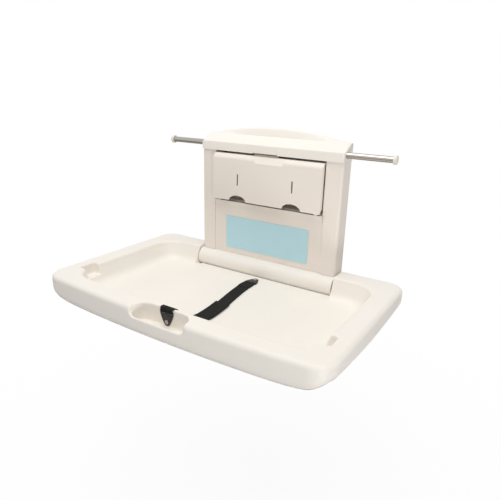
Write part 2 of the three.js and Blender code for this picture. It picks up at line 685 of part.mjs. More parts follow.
// A steel plate in the bed's ear that takes the pin, with a leg forward under the basin floor.
function hingeArm() {
  const legTop = FLOOR_UNDERSIDE - 2 - HINGE_Z;
  const legEnd = -ARM_REACH - HINGE_Y;
  const rear = -0.5 * HINGE_Y;
  const basinWall = SHELL_WALL - BASIN_REAR_REACH - HINGE_Y;
  const outline = shapeOf([
    [rear, 14],
    [rear, -12],
    [-10, -28],
    [-36, legTop - 3],
    [legEnd, legTop - ARM_DEPTH],
    [legEnd, legTop],
    [FLAT_FLOOR_Y + 0.6 * BASIN_FLOOR_R - HINGE_Y, legTop],
    [basinWall, -18],
    [basinWall + 4, 14],
  ]);
  return cut(prismX(outline, ARM_X, ARM_X + ARM_PLATE), bar("x", PIN_BORE, 0, 2 * CHEEK_X));
}

const crossTube = () => {
  const half = ARM_X - SEAT_GAP;
  const top = FLOOR_UNDERSIDE - 2;
  const front = -ARM_REACH;
  return cut(
    box([-half, half], [front, front + TUBE_SIDE], [top - TUBE_SIDE, top]),
    box([-half - 1, half + 1], [front + 1.5, front + TUBE_SIDE - 1.5], [top - TUBE_SIDE + 1.5, top - 1.5]),
  );
};

// Steel chassis on the wall: a plate with two forward flanges and four wall holes.
const BARREL_BOTTOM = BARREL_Z - BARREL_R;
const BARREL_TOP = BARREL_Z + BARREL_R;

function wallChassis() {
  const half = CHASSIS_WIDTH / 2;
  const bottom = BARREL_BOTTOM + BARREL_WALL + 2;
  const plate = box([-half, half], [-CHASSIS_PLATE, 0], [bottom, CHASSIS_TOP]);
  const flanges = [1, -1].map((side) =>
    box(
      side > 0 ? [half - CHASSIS_PLATE, half] : [-half, -half + CHASSIS_PLATE],
      [-CHASSIS_FLANGE, 0],
      [BARREL_TOP + 12, PANEL_TOP - 14],
    ),
  );
  const wallHoles = [WALL_HOLE_LOW, WALL_HOLE_HIGH].flatMap((z) =>
    [1, -1].map((side) =>
      bar("y", WALL_HOLE_R, -CHASSIS_PLATE - 1, 1, [(side * WALL_HOLE_SPACING) / 2, 0, z], 16),
    ),
  );
  return cut(join(plate, ...flanges), ...wallHoles, ...boxScrewBores(-CHASSIS_PLATE - 1, 1));
}

// Barrel that covers the hinge: a round front on a straight back, open towards the wall.
function barrelSection(thick) {
  const r = BARREL_R - thick;
  const back = thick ? 1 : -BACK_GAP;
  const shape = new THREE.Shape();
  shape.moveTo(back, BARREL_Z - r);
  shape.lineTo(back, BARREL_Z + r);
  shape.absarc(BARREL_Y, BARREL_Z, r, Math.PI / 2, 1.5 * Math.PI);
  return shape;
}

function hingeCover() {
  const inner = BARREL_END - BARREL_WALL;
  return cut(
    prismX(barrelSection(0), -BARREL_END, BARREL_END),
    prismX(barrelSection(BARREL_WALL), -inner, inner),
    box(
      [-CHASSIS_WIDTH / 2 - SEAT_GAP, CHASSIS_WIDTH / 2 + SEAT_GAP],
      [CHASSIS_FRONT, 1],
      [BARREL_Z, BARREL_TOP + 1],
    ),
    bar("x", BUSH_R + RUNNING_GAP, -CHEEK_X, CHEEK_X, HINGE),
  );
}

// Moulded panel: two columns, a lower field set back, a chin under the dispenser and a window above it.
const DOOR_BOTTOM = CHIN_TOP + DOOR_RISE;
const PIVOT_Y = -DOOR_REACH + DOOR_SKIN + PIVOT_LUG_R + SEAT_GAP;
const PIVOT_Z = DOOR_BOTTOM + 1.5;
const FIELD_Y = -PANEL_DEPTH + FIELD_DEPTH;

function panelShell() {
  const [half, window, wall] = [PANEL_WIDTH / 2, WINDOW_WIDTH / 2, PANEL_WALL];
  const bottom = BARREL_TOP + SEAT_GAP;
  const body = prismZ(
    roundedRectangle(-half, half, -PANEL_DEPTH, PANEL_DEPTH, PANEL_EDGE_R),
    bottom,
    PANEL_TOP,
  );
  const behind = box([-half - 1, half + 1], [-BACK_GAP, 2 * PANEL_DEPTH], [bottom - 1, PANEL_TOP + 1]);
  const field = box([-FIELD_WIDTH / 2, FIELD_WIDTH / 2], [-PANEL_DEPTH - 1, FIELD_Y], [bottom - 1, CHIN_TOP]);
  const windowCut = box([-window, window], [-PANEL_DEPTH - 1, 1], [CHIN_TOP, PANEL_TOP + 1]);
  const lower = box([-half + wall, half - wall], [FIELD_Y + wall, 1], [bottom - 1, CHIN_TOP - wall]);
  const columns = [1, -1].map((side) => {
    const [inner, outer] = [window + wall, half - wall];
    return box(
      side > 0 ? [inner, outer] : [-outer, -inner],
      [-PANEL_DEPTH + wall, 1],
      [bottom - 1, PANEL_TOP - wall],
    );
  });
  const seat = box([-half + wall, half - wall], [CHASSIS_FRONT, 1], [bottom - 1, PANEL_TOP + 1]);
  const chin = prismX(
    shapeOf([
      [FIELD_Y + wall, CHIN_BOTTOM],
      [FIELD_Y, CHIN_BOTTOM],
      [FIELD_Y - CHIN_REACH, CHIN_TOP],
      [FIELD_Y + wall, CHIN_TOP],
    ]),
    -window + 1,
    window - 1,
  );
  const lugs = [1, -1].map((side) => {
    const place = side > 0 ? PIVOT_LUG_X : -PIVOT_LUG_X - PIVOT_LUG_WIDTH;
    const stem = shapeOf([
      [FIELD_Y, CHIN_TOP - 1],
      [FIELD_Y, CHIN_TOP + 1],
      [PIVOT_Y, PIVOT_Z + PIVOT_LUG_R],
      [PIVOT_Y + 1.5, PIVOT_Z - PIVOT_LUG_R],
      [FIELD_Y - CHIN_REACH + 1, CHIN_TOP - 1],
    ]);
    return join(
      prismX(stem, place, place + PIVOT_LUG_WIDTH),
      bar("x", PIVOT_LUG_R, place, place + PIVOT_LUG_WIDTH, [0, PIVOT_Y, PIVOT_Z], 20),
    );
  });
  const pivotHole = bar("x", PIVOT_R + RUNNING_GAP, -window, window, [0, PIVOT_Y, PIVOT_Z], 12);
  const shell = cut(body, behind, field, windowCut, lower, ...columns, seat);
  return cut(join(shell, chin, ...lugs), pivotHole);
}

// Top cap: a fascia, a top that slopes back from it, and an arched crest along the wall.
const CAP_BOTTOM = PANEL_TOP + SEAT_GAP;
const FASCIA_TOP = CAP_BOTTOM + FASCIA_HEIGHT;
const ARCH_STEPS = 16;

function capSection(x, inset, thick, back) {
  const top = FASCIA_TOP - inset - thick;
  const front = -CAP_DEPTH + inset + thick;
  const bottom = CAP_BOTTOM + (thick ? thick - 1 : 0);
  const shoulder = top + SHOULDER_RISE;
  const swell = Math.max(0, 1 - (x / (ARCH_WIDTH / 2)) ** 2);
  const crest = THREE.MathUtils.lerp(shoulder, top + CREST_RISE, swell);
  return [
    [x, front, bottom],
    [x, front, top - CAP_EDGE_R],
    [x, front + 0.3 * CAP_EDGE_R, top - 0.3 * CAP_EDGE_R],
    [x, front + CAP_EDGE_R, top],
    [x, -CREST_DEPTH + thick, shoulder - 2],
    [x, -CREST_DEPTH / 2 + thick, THREE.MathUtils.lerp(shoulder - 1, crest, 0.85)],
    [x, back, crest],
    [x, back, bottom],
  ];
}

function capBody(thick) {
  const end = CAP_WIDTH / 2 - thick;
  const back = thick ? CAP_WALL + 1 : -BACK_GAP;
  const arch = Array.from({ length: ARCH_STEPS + 1 }, (_, i) => (i / ARCH_STEPS - 0.5) * ARCH_WIDTH);
  const places = [
    [-end, CAP_END_R],
    [-end + CAP_END_R / 3, CAP_END_R / 3],
    [-end + CAP_END_R, 0],
    ...arch.map((x) => [x, 0]),
    [end - CAP_END_R, 0],
    [end - CAP_END_R / 3, CAP_END_R / 3],
    [end, CAP_END_R],
  ];
  return loft(places.map(([x, inset]) => capSection(x, thick ? 0 : inset, thick, back)));
}

const CATCH_BOTTOM = CAP_BOTTOM + CATCH_NOSE; // underside of its flange
const CATCH_SPAN = [CATCH_X - CATCH_WIDTH / 2, CATCH_X + CATCH_WIDTH / 2];
const UPSTAND_Y = -DOOR_REACH + DOOR_BEVEL / 2 + DOOR_TOP_SLOPE + DOOR_LIP;

function topCap() {
  const chassisSeat = box(
    [-CAP_WIDTH / 2 + CAP_WALL, CAP_WIDTH / 2 - CAP_WALL],
    [CHASSIS_FRONT, 1],
    [CAP_BOTTOM - 1, CAP_BOTTOM + CAP_WALL],
  );
  const catchSlot = box(
    [CATCH_SPAN[0] - 1, CATCH_SPAN[1] + 1],
    [-CAP_DEPTH - 1, UPSTAND_Y + DOOR_SKIN + 1],
    [CAP_BOTTOM - 1, CATCH_BOTTOM + CATCH_PLATE + SEAT_GAP],
  );
  const rodHole = bar("x", ROD_R + RUNNING_GAP, -CAP_WIDTH, CAP_WIDTH, [0, -ROD_REACH, ROD_Z]);
  return cut(capBody(0), capBody(CAP_WALL), chassisSeat, catchSlot, rodHole);
}

// Bag rod, the cradles that hold it off the chassis, and its end caps
const bagRod = () => bar("x", ROD_R, -ROD_LENGTH / 2, ROD_LENGTH / 2);

function rodCradle() {
  const [low, high, front] = [ROD_R + 2, ROD_R + 0.8, ROD_R + 1.2];
  const back = ROD_REACH + CHASSIS_FRONT;
  const outline = shapeOf([
    [-front, -low],
    [back, -low],
    [back, high],
    [front / 3, high],
    [front / 3, 0],
    [-front, 0],
  ]);
  return cut(
    prismX(outline, -CRADLE_WIDTH / 2, CRADLE_WIDTH / 2),
    bar("x", ROD_R + RUNNING_GAP, -CRADLE_WIDTH, CRADLE_WIDTH),
  );
}

const rodCap = () =>
  cut(
    bar("x", ROD_CAP_R, ROD_CAP_END - ROD_CAP_LENGTH, ROD_CAP_END),
    bar("x", ROD_R + RUNNING_GAP, -ROD_CAP_LENGTH, SEAT_GAP),
  );

// Liner box behind the door, its divider, and its screws and spacers to the chassis
const BOX_BACK = CHASSIS_FRONT - 3;
const BOX_FRONT = BOX_BACK - BOX_DEPTH;
const BOX_BOTTOM = CHIN_TOP + SEAT_GAP;
const BOX_TOP = BOX_BOTTOM + BOX_HEIGHT;
const BOX_HALF = WINDOW_WIDTH / 2 - SEAT_GAP;
const BOX_SCREWS = [BOX_BOTTOM + BOX_SCREW_INSET, BOX_TOP - BOX_SCREW_INSET].flatMap((z) =>
  [1, -1].map((side) => [side * BOX_SCREW_X, z]),
);

function boxScrewBores(from, to) {
  return BOX_SCREWS.map(([x, z]) => bar("y", SCREW_R + RUNNING_GAP, from, to, [x, 0, z], 12));
}

function linerBox() {
  const body = box([-BOX_HALF, BOX_HALF], [BOX_FRONT, BOX_BACK], [BOX_BOTTOM, BOX_TOP]);
  const room = box(
    [-BOX_HALF + BOX_WALL, BOX_HALF - BOX_WALL],
    [BOX_FRONT - 1, BOX_BACK - BOX_WALL],
    [BOX_BOTTOM + BOX_WALL, BOX_TOP - BOX_WALL],
  );
  return cut(body, room, ...boxScrewBores(BOX_FRONT, 1));
}

// A washer between the liner box and the chassis, its back at y = 0
const boxSpacer = () =>
  cut(
    bar("y", BOSS_R, BOX_BACK - CHASSIS_FRONT + SEAT_GAP, 0, [0, 0, 0], 16),
    bar("y", SCREW_R + RUNNING_GAP, BOX_BACK, 1, [0, 0, 0], 12),
  );

const linerDivider = () =>
  box(
    [-BOX_WALL / 2, BOX_WALL / 2],
    [BOX_FRONT, BOX_BACK - BOX_WALL - SEAT_GAP],
    [BOX_BOTTOM + BOX_WALL + SEAT_GAP, BOX_TOP - BOX_WALL - SEAT_GAP],
  );

// A pan-head screw along Y, its head at the front, seated at y = 0.
const boxScrew = () =>
  join(
    bar("y", SCREW_R, -SEAT_GAP - 1, -BOX_BACK + BOX_WALL - BACK_GAP, [0, 0, 0], 12),
    bar("y", SCREW_HEAD_R, -SEAT_GAP - SCREW_HEAD, -SEAT_GAP, [0, 0, 0], 16),
  );

// Drop-front door: a bent skin with side returns, pivot ribs, cut-outs, sight slots and a finger scoop
function dispenserDoor() {
  const half = WINDOW_WIDTH / 2 - DOOR_GAP;
  const [front, faceTop] = [-DOOR_REACH, DOOR_BOTTOM + DOOR_FACE];
  const bevel = [front + DOOR_BEVEL / 2, faceTop + DOOR_BEVEL];
  const slope = [bevel[0] + DOOR_TOP_SLOPE, bevel[1] + DOOR_TOP_SLOPE];
  const lipEnd = UPSTAND_Y + DOOR_SKIN;
  const upstand = box(CATCH_SPAN, [UPSTAND_Y, lipEnd], [slope[1] - 1, slope[1] + DOOR_UPSTAND]);
  const skin = shapeOf([
    [front, DOOR_BOTTOM],
    [front + DOOR_SKIN, DOOR_BOTTOM],
    [front + DOOR_SKIN, faceTop - 1],
    [bevel[0] + DOOR_SKIN, bevel[1] - 1.5],
    [slope[0] + 1, slope[1] - DOOR_SKIN],
    [lipEnd, slope[1] - DOOR_SKIN],
    [lipEnd, slope[1]],
    slope,
    bevel,
    [front, faceTop],
  ]);
  const side = shapeOf([
    [front, DOOR_BOTTOM],
    [front + DOOR_RETURN, DOOR_BOTTOM + DOOR_RETURN],
    [front + DOOR_RETURN, slope[1] - 1],
    slope,
    bevel,
    [front, faceTop],
  ]);
  const rib = shapeOf([
    [front + DOOR_SKIN - 1, PIVOT_Z - PIVOT_LUG_R],
    [PIVOT_Y + PIVOT_LUG_R, PIVOT_Z - PIVOT_LUG_R],
    [PIVOT_Y + PIVOT_LUG_R, PIVOT_Z + PIVOT_LUG_R],
    [front + DOOR_SKIN - 1, PIVOT_Z + 5 * PIVOT_LUG_R],
  ]);
  const ribX = PIVOT_LUG_X + PIVOT_LUG_WIDTH + SEAT_GAP;
  const pieces = [prismX(skin, -half, half), upstand];
  for (const [x0, x1] of [
    [half - DOOR_SKIN, half],
    [-half, -half + DOOR_SKIN],
  ])
    pieces.push(prismX(side, x0, x1));
  for (const x0 of [ribX, -ribX - PIVOT_RIB]) pieces.push(prismX(rib, x0, x0 + PIVOT_RIB));
  const holes = [1, -1].flatMap((way) => [
    cutout(way * CUTOUT_X),
    box(
      [way * CUTOUT_X - SLOT_WIDTH / 2, way * CUTOUT_X + SLOT_WIDTH / 2],
      [front - 1, front + DOOR_SKIN + 1],
      [DOOR_BOTTOM + SLOT_RISE, DOOR_BOTTOM + SLOT_RISE + SLOT_HEIGHT],
    ),
  ]);
  const scoop = prismX(
    shapeOf([
      [front - 1, faceTop - DOOR_SKIN],
      [front, faceTop - DOOR_SKIN],
      [slope[0] - SCOOP_DEPTH / 4, slope[1] - SCOOP_DEPTH / 3],
      [slope[0], slope[1] + 1],
      [front - 1, slope[1] + 1],
    ]),
    SCOOP_X - SCOOP_WIDTH / 2,
    SCOOP_X + SCOOP_WIDTH / 2,
  );
  const pivotHole = bar("x", PIVOT_R + RUNNING_GAP, -half + DOOR_SKIN, half - DOOR_SKIN, [
    0, PIVOT_Y, PIVOT_Z,
  ], 12);
  return cut(join(...pieces), ...holes, scoop, pivotHole);
}

// Half-round opening in the door's lower edge, wider than it is high
function cutout(x) {
  const shape = new THREE.Shape();
  shape.absellipse(0, 0, CUTOUT_WIDTH / 2, CUTOUT_HEIGHT, 0, 2 * Math.PI);
  const geometry = extrude(shape, 2 * DOOR_SKIN, 6).applyMatrix4(STAND_UP);
  return geometry.translate(x, -DOOR_REACH + 1.5 * DOOR_SKIN, DOOR_BOTTOM);
}

const doorPivot = () =>
  bar("x", PIVOT_R, PIVOT_LUG_X, PIVOT_LUG_X + PIVOT_LUG_WIDTH + SEAT_GAP + PIVOT_RIB, [0, 0, 0], 12);

// Catch: a plate on the fascia, a flange through it, and a nose that slides down before the door's upstand
function doorCatch() {
  const front = -CAP_DEPTH - SEAT_GAP - CATCH_PLATE;
  const noseBack = UPSTAND_Y - SEAT_GAP;
  const flangeTop = CATCH_BOTTOM + CATCH_PLATE;
  const span = CATCH_SPAN;
  return join(
    box(span, [front, front + CATCH_PLATE], [CAP_BOTTOM + CATCH_PLATE, FASCIA_TOP - CAP_EDGE_R / 2]),
    box(span, [front, noseBack], [CATCH_BOTTOM, flangeTop]),
    box(span, [noseBack - CATCH_PLATE, noseBack], [CAP_BOTTOM, flangeTop]),
  );
}

const instructionPlate = () =>
  prismY(
    roundedRectangle(
      -PLATE_WIDTH / 2,
      PLATE_WIDTH / 2,
      PLATE_BOTTOM,
      PLATE_BOTTOM + PLATE_HEIGHT,
      PLATE_CORNER_R,
    ),
    FIELD_Y - SEAT_GAP - PLATE_THICKNESS,
    FIELD_Y - SEAT_GAP,
  );

// Strap anchor in its own plane: screw hole at the middle of its round tip, slotted bar away along -Y
function strapAnchor() {
  const [half, far] = [ANCHOR_WIDTH / 2, -ANCHOR_LENGTH + ANCHOR_TIP_R];
  const shape = new THREE.Shape();
  const tilt = Math.PI / 8;
  shape.absarc(0, 0, ANCHOR_TIP_R, tilt, Math.PI - tilt);
  const [r, corner] = [ANCHOR_CORNER_R, half - ANCHOR_CORNER_R];
  shape.absarc(-corner, far + r, r, Math.PI - tilt, 1.5 * Math.PI);
  shape.absarc(corner, far + r, r, 1.5 * Math.PI, 2 * Math.PI + tilt);
  shape.holes.push(new THREE.Path().absarc(0, 0, ANCHOR_SCREW_R + RUNNING_GAP, 0, 2 * Math.PI));
  const slotHalf = half - 2 * ANCHOR_CORNER_R;
  const slot = [
    [-slotHalf, far + ANCHOR_BAR],
    [slotHalf, far + ANCHOR_BAR],
    [slotHalf, far + ANCHOR_BAR + ANCHOR_SLOT],
    [-slotHalf, far + ANCHOR_BAR + ANCHOR_SLOT],
  ];
  shape.holes.push(new THREE.Path(slot.map(([u, v]) => new THREE.Vector2(u, v))));
  return extrude(shape, ANCHOR_PLATE, 8);
}

const anchorScrew = () =>
  join(
    bar("z", ANCHOR_SCREW_R, 0, ANCHOR_PLATE + SEAT_GAP + 1, [0, 0, 0], 16),
    bar("z", SCREW_R, -SCREW_BITE + 2, 1, [0, 0, 0], 12),
    bar("z", ANCHOR_HEAD_R, ANCHOR_PLATE + SEAT_GAP, ANCHOR_PLATE + SEAT_GAP + ANCHOR_HEAD, [0, 0, 0], 20),
  );

// Flat webbing along a path of (x, y, z), with its width across X
function webbing(path, width) {
  const sections = path.map(([x, y, z], i) => {
    const before = path[Math.max(i - 1, 0)];
    const after = path[Math.min(i + 1, path.length - 1)];
    const along = new THREE.Vector2(after[1] - before[1], after[2] - before[2]).normalize();
    const [ny, nz] = [-along.y * STRAP_THICKNESS * 0.5, along.x * STRAP_THICKNESS * 0.5];
    const half = width / 2;
    return [
      [x - half, y + ny, z + nz],
      [x + half, y + ny, z + nz],
      [x + half, y - ny, z - nz],
      [x - half, y - ny, z - nz],
    ];
  });
  return loft(sections);
}

// The straps lie askew: no drift at the anchors, most of it at one place between them.
function drift(y) {
  const [rear, most, front] = [-REAR_ANCHOR_REACH - ANCHOR_LENGTH, -STRAP_DRIFT_REACH, -BASIN_FRONT_REACH];
  const share = y > most ? (y - rear) / (most - rear) : (y - front) / (most - front);
  return STRAP_DRIFT * THREE.MathUtils.smoothstep(share, 0, 1);
}

const STRAP_LIFT = SEAT_GAP + STRAP_THICKNESS / 2;
const REAR_ANCHOR_BAR = -REAR_ANCHOR_REACH - ANCHOR_LENGTH + ANCHOR_TIP_R;

function rearStrap() {
  const z = -BASIN_DEPTH + STRAP_LIFT;
  const from = REAR_ANCHOR_BAR - SEAT_GAP;
  const steps = 8;
  const path = Array.from({ length: steps + 1 }, (_, i) => {
    const y = THREE.MathUtils.lerp(from, -REAR_STRAP_REACH, i / steps);
    return [drift(y), y, z];
  });
  return webbing(path, REAR_STRAP_WIDTH);
}

// From its anchor over the front rim, down the basin's wall and back over the rear strap
function frontStrap() {
  const wall = -RECESS_WALL_REACH;
  const anchorTop = -FRONT_ANCHOR_DROP + ANCHOR_LENGTH - ANCHOR_TIP_R + SEAT_GAP;
  const edge = -BASIN_FRONT_REACH - BASIN_BOW;
  const lap = -BASIN_DEPTH + STRAP_LIFT + STRAP_THICKNESS + SEAT_GAP;
  const path = [
    [0, wall - STRAP_LIFT, anchorTop],
    [0, wall - STRAP_LIFT, -STRAP_LIFT],
    [0, wall - 0.7 * STRAP_LIFT, 0.7 * STRAP_LIFT],
    [0, wall + STRAP_LIFT, STRAP_LIFT],
  ];
  for (const { inset, height, faces } of basinStops.slice(1)) {
    const [out, up] = faces;
    const y = edge + inset - STRAP_LIFT * out;
    path.push([drift(y), y, Math.max(height() + STRAP_LIFT * up, lap)]);
  }
  const steps = 5;
  const floorFrom = path.at(-1)[1];
  for (let i = 1; i <= steps; i++) {
    const y = THREE.MathUtils.lerp(floorFrom, -FRONT_STRAP_REACH, i / steps);
    path.push([drift(y), y, lap]);
  }
  return webbing(path, FRONT_STRAP_WIDTH);
}

// Screw that holds the underside pan, its head below
const bedScrew = () =>
  join(
    bar("z", SCREW_R, -SEAT_GAP - 1, SCREW_BITE, [0, 0, 0], 12),
    bar("z", SCREW_HEAD_R, -SEAT_GAP - SCREW_HEAD, -SEAT_GAP, [0, 0, 0], 16),
  );

// Assembly
function add(group, name, geometry, material, position = [0, 0, 0]) {
  const mesh = new THREE.Mesh(geometry, material);
  mesh.name = name;
  mesh.position.set(...position);
  group.add(mesh);
  return mesh;
}

// Adds a piece to both sides, the left one mirrored.
function addPair(group, name, geometry, material, position = [0, 0, 0]) {
  for (const [label, sign] of [
    ["right", 1],
    ["left", -1],
  ]) {
    const side = new THREE.Group();
    side.scale.x = sign;
    add(side, `${name}_${label}`, geometry, material, position);
    group.add(side);
  }
}

const wallUnit = new THREE.Group();
add(wallUnit, "wall_chassis", wallChassis(), ZINC_STEEL);
add(wallUnit, "panel_shell", panelShell(), PANEL_POLYETHYLENE);
add(wallUnit, "top_cap", topCap(), POLYETHYLENE);
add(wallUnit, "hinge_cover", hingeCover(), POLYETHYLENE);
addPair(wallUnit, "hinge_bracket", hingeBracket(), ZINC_STEEL, HINGE);
addPair(wallUnit, "hinge_bush", hingeBush(), NYLON, HINGE);
addPair(wallUnit, "stop_pad", stopPad(), RUBBER, HINGE);
addPair(wallUnit, "damper", damper(), BLACK_NYLON, HINGE);
add(wallUnit, "liner_box", linerBox(), POLYETHYLENE);
add(wallUnit, "liner_divider", linerDivider(), POLYETHYLENE);
BOX_SCREWS.forEach(([x, z], i) => {
  add(wallUnit, `liner_box_screw_${i + 1}`, boxScrew(), ZINC_STEEL, [x, BOX_BACK - BOX_WALL, z]);
  add(wallUnit, `liner_box_spacer_${i + 1}`, boxSpacer(), NYLON, [x, CHASSIS_FRONT, z]);
});
addPair(wallUnit, "door_pivot", doorPivot(), STAINLESS, [0, PIVOT_Y, PIVOT_Z]);
add(wallUnit, "bag_rod", bagRod(), STAINLESS, [0, -ROD_REACH, ROD_Z]);
addPair(wallUnit, "rod_cradle", rodCradle(), NYLON, [CRADLE_X, -ROD_REACH, ROD_Z]);
addPair(wallUnit, "rod_cap", rodCap(), NYLON, [ROD_LENGTH / 2, -ROD_REACH, ROD_Z]);
add(wallUnit, "instruction_plate", instructionPlate(), PLATE_FILM);
add(wallUnit, "dispenser_door", dispenserDoor(), PANEL_POLYETHYLENE);
add(wallUnit, "door_catch", doorCatch(), POLYETHYLENE);

const bed = new THREE.Group();
add(bed, "bed_shell", bedShell(), POLYETHYLENE);
add(bed, "bed_underside", bedUnderside(), POLYETHYLENE);
addPair(bed, "hinge_pin", hingePin(), STAINLESS, HINGE);
addPair(bed, "stop_lever", stopLever(), ZINC_STEEL, HINGE);
addPair(bed, "damper_rotor", damperRotor(), NYLON, HINGE);
addPair(bed, "hinge_arm", hingeArm(), ZINC_STEEL, HINGE);
add(bed, "cross_tube", crossTube(), ZINC_STEEL);
BED_SCREWS.forEach(([x, y], i) =>
  add(bed, `underside_screw_${i + 1}`, bedScrew(), ZINC_STEEL, [x, y, -BELLY_DEPTH]),
);
add(bed, "rear_strap", rearStrap(), WEBBING);
add(bed, "front_strap", frontStrap(), WEBBING);

// The rear anchor lies on the basin floor; the front one stands on the wall of the hand recess.
const rearAnchor = new THREE.Group();
rearAnchor.position.set(0, -REAR_ANCHOR_REACH, -BASIN_DEPTH + SEAT_GAP);
const frontAnchor = new THREE.Group();
frontAnchor.position.set(0, -RECESS_WALL_REACH - SEAT_GAP, -FRONT_ANCHOR_DROP);
frontAnchor.rotation.set(-Math.PI / 2, 0, Math.PI, "ZYX");
for (const [group, end] of [
  [rearAnchor, "rear"],
  [frontAnchor, "front"],
]) {
  add(group, `${end}_anchor`, strapAnchor(), BLACK_NYLON);
  add(group, `${end}_anchor_screw`, anchorScrew(), STAINLESS);
  bed.add(group);
}

const station = new THREE.Group();
station.add(wallUnit, bed);

export default station;
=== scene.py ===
"""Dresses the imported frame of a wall-mounted baby changing station: pieces, materials and stage."""

import json
import math

import bmesh
import bpy
import numpy as np
from bpy.props import FloatProperty, FloatVectorProperty, PointerProperty
from mathutils import Matrix, Vector


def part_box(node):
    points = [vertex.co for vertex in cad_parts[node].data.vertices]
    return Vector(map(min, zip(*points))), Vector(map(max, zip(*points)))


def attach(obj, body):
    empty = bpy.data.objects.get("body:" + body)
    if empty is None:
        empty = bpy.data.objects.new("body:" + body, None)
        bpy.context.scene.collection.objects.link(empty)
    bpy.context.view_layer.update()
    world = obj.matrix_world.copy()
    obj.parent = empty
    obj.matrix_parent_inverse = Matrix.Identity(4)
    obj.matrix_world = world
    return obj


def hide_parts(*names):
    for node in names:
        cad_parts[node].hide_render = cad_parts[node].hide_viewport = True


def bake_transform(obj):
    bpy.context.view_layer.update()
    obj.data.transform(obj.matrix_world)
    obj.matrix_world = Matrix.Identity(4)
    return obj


bl_info = {
    "name": "Baby Changing Station",
    "version": (1, 0, 0),
    "blender": (4, 5, 0),
    "location": "3D View > Sidebar > Station",
    "description": "Builds a wall-mounted baby changing station on its packed frame",
    "category": "Add Mesh",
}

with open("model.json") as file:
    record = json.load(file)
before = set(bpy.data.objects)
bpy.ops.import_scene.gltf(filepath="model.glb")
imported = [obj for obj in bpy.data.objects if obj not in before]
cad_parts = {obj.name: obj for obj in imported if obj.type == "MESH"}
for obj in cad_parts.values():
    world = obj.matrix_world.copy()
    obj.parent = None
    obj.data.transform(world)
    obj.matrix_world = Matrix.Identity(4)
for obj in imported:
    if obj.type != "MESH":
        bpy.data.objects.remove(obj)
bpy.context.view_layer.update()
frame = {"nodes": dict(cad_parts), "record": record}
NODES = frame["nodes"]
NODE_SLOTS = {part["node"]: part["material_slot"] for part in frame["record"]["subparts"]}
MM = 0.001


def linear(code):
    """An sRGB hex colour as linear red, green and blue."""
    parts = [int(code[i : i + 2], 16) / 255 for i in (1, 3, 5)]
    return [c / 12.92 if c <= 0.04045 else ((c + 0.055) / 1.055) ** 2.4 for c in parts]


def colour(name, description, code):
    return FloatVectorProperty(
        name=name,
        description=description,
        subtype="COLOR",
        size=3,
        min=0,
        max=1,
        default=linear(code),
    )


def length(name, description, metres):
    return FloatProperty(name=name, description=description, unit="LENGTH", default=metres, min=0)


def level(name, description, value):
    return FloatProperty(name=name, description=description, default=value, min=0)


# Settings that a user would change


class StationColours(bpy.types.PropertyGroup):
    polyethylene: colour("Polyethylene", "Bed, top cap and hinge cover", "#f7f1e8")
    panel: colour("Panel polyethylene", "Wall panel and dispenser door", "#f3eae0")
    nylon: colour("Natural nylon", "Rod caps, bushes and spacers", "#ece8df")
    black: colour("Black nylon", "Strap anchors and dampers", "#171615")
    webbing: colour("Webbing", "Safety strap", "#191816")
    film: colour("Plate film", "Instruction plate", "#bfe6ef")
    stainless: colour("Stainless steel", "Bag rod, pins and anchor screws", "#b4aea7")
    zinc: colour("Zinc-plated steel", "Chassis, brackets and hidden screws", "#aab0b4")
    rubber: colour("Rubber", "Stop pads", "#262626")


class BedSizes(bpy.types.PropertyGroup):
    width: length("Width", "Bed, side to side", 0.884)
    reach: length("Reach", "Wall to the front, beside its corners", 0.540)
    front_bow: length("Front bow", "How far the front swells forward", 0.015)
    rim_radius: length("Rim radius", "Rounding of the outer rim", 0.012)
    basin_depth: length("Basin depth", "Rim to the floor of the basin", 0.060)
    grain: length("Mould grain", "Mesh spacing of the moulded bed", 0.0024)


class StrapSizes(bpy.types.PropertyGroup):
    rear_width: length("Rear strap width", "Width of the webbing at the hinge", 0.040)
    front_width: length("Front strap width", "Width of the webbing at the front", 0.048)
    thickness: length("Thickness", "Thickness of the webbing", 0.0018)
    tab: length("Folded end", "Webbing that is folded back and sewn down", 0.034)


class StageSettings(bpy.types.PropertyGroup):
    floor_drop: length("Floor drop", "Bed's rim to the floor", 0.86)
    sky: level("Sky", "Even light from all round", 0.50)
    overhead: level("Overhead lamp", "Power of the broad lamp above, in watts", 38)
    fill: level("Fill lamp", "Power of the low lamp at the front right, in watts", 15)


# Mesh tools. Shapes are in millimetres, in the frame's axes.


EDGE_ANGLE = math.radians(30)  # an edge sharper than this is rounded


def new_piece(name, points, faces):
    mesh = bpy.data.meshes.new(name)
    mesh.from_pydata([Vector(p) * MM for p in points], [], faces)
    mesh.update()
    piece = bpy.data.objects.new(name, mesh)
    bpy.context.scene.collection.objects.link(piece)
    return piece


def loft(name, rings):
    """A closed body through rings of like points, its ends filled flat."""
    count = len(rings[0])
    points = [p for ring in rings for p in ring]
    faces = []
    for k in range(len(rings) - 1):
        for i in range(count):
            j = (i + 1) % count
            faces.append((k * count + i, k * count + j, (k + 1) * count + j, (k + 1) * count + i))
    faces.append(tuple(reversed(range(count))))
    faces.append(tuple(range((len(rings) - 1) * count, len(rings) * count)))
    piece = new_piece(name, points, faces)
    face_outwards(piece)
    return piece


def face_outwards(piece):
    bm = bmesh.new()
    bm.from_mesh(piece.data)
    bmesh.ops.recalc_face_normals(bm, faces=bm.faces)
    bm.to_mesh(piece.data)
    bm.free()


def prism(name, outline, axis, start, end):
    """An outline of pairs pushed along an axis: (y, z) along x, (x, z) along y, (x, y) along z."""
    place = {
        "x": lambda u, v, w: (w, u, v),
        "y": lambda u, v, w: (u, w, v),
        "z": lambda u, v, w: (u, v, w),
    }[axis]
    return loft(name, [[place(u, v, w) for u, v in outline] for w in (start, end)])


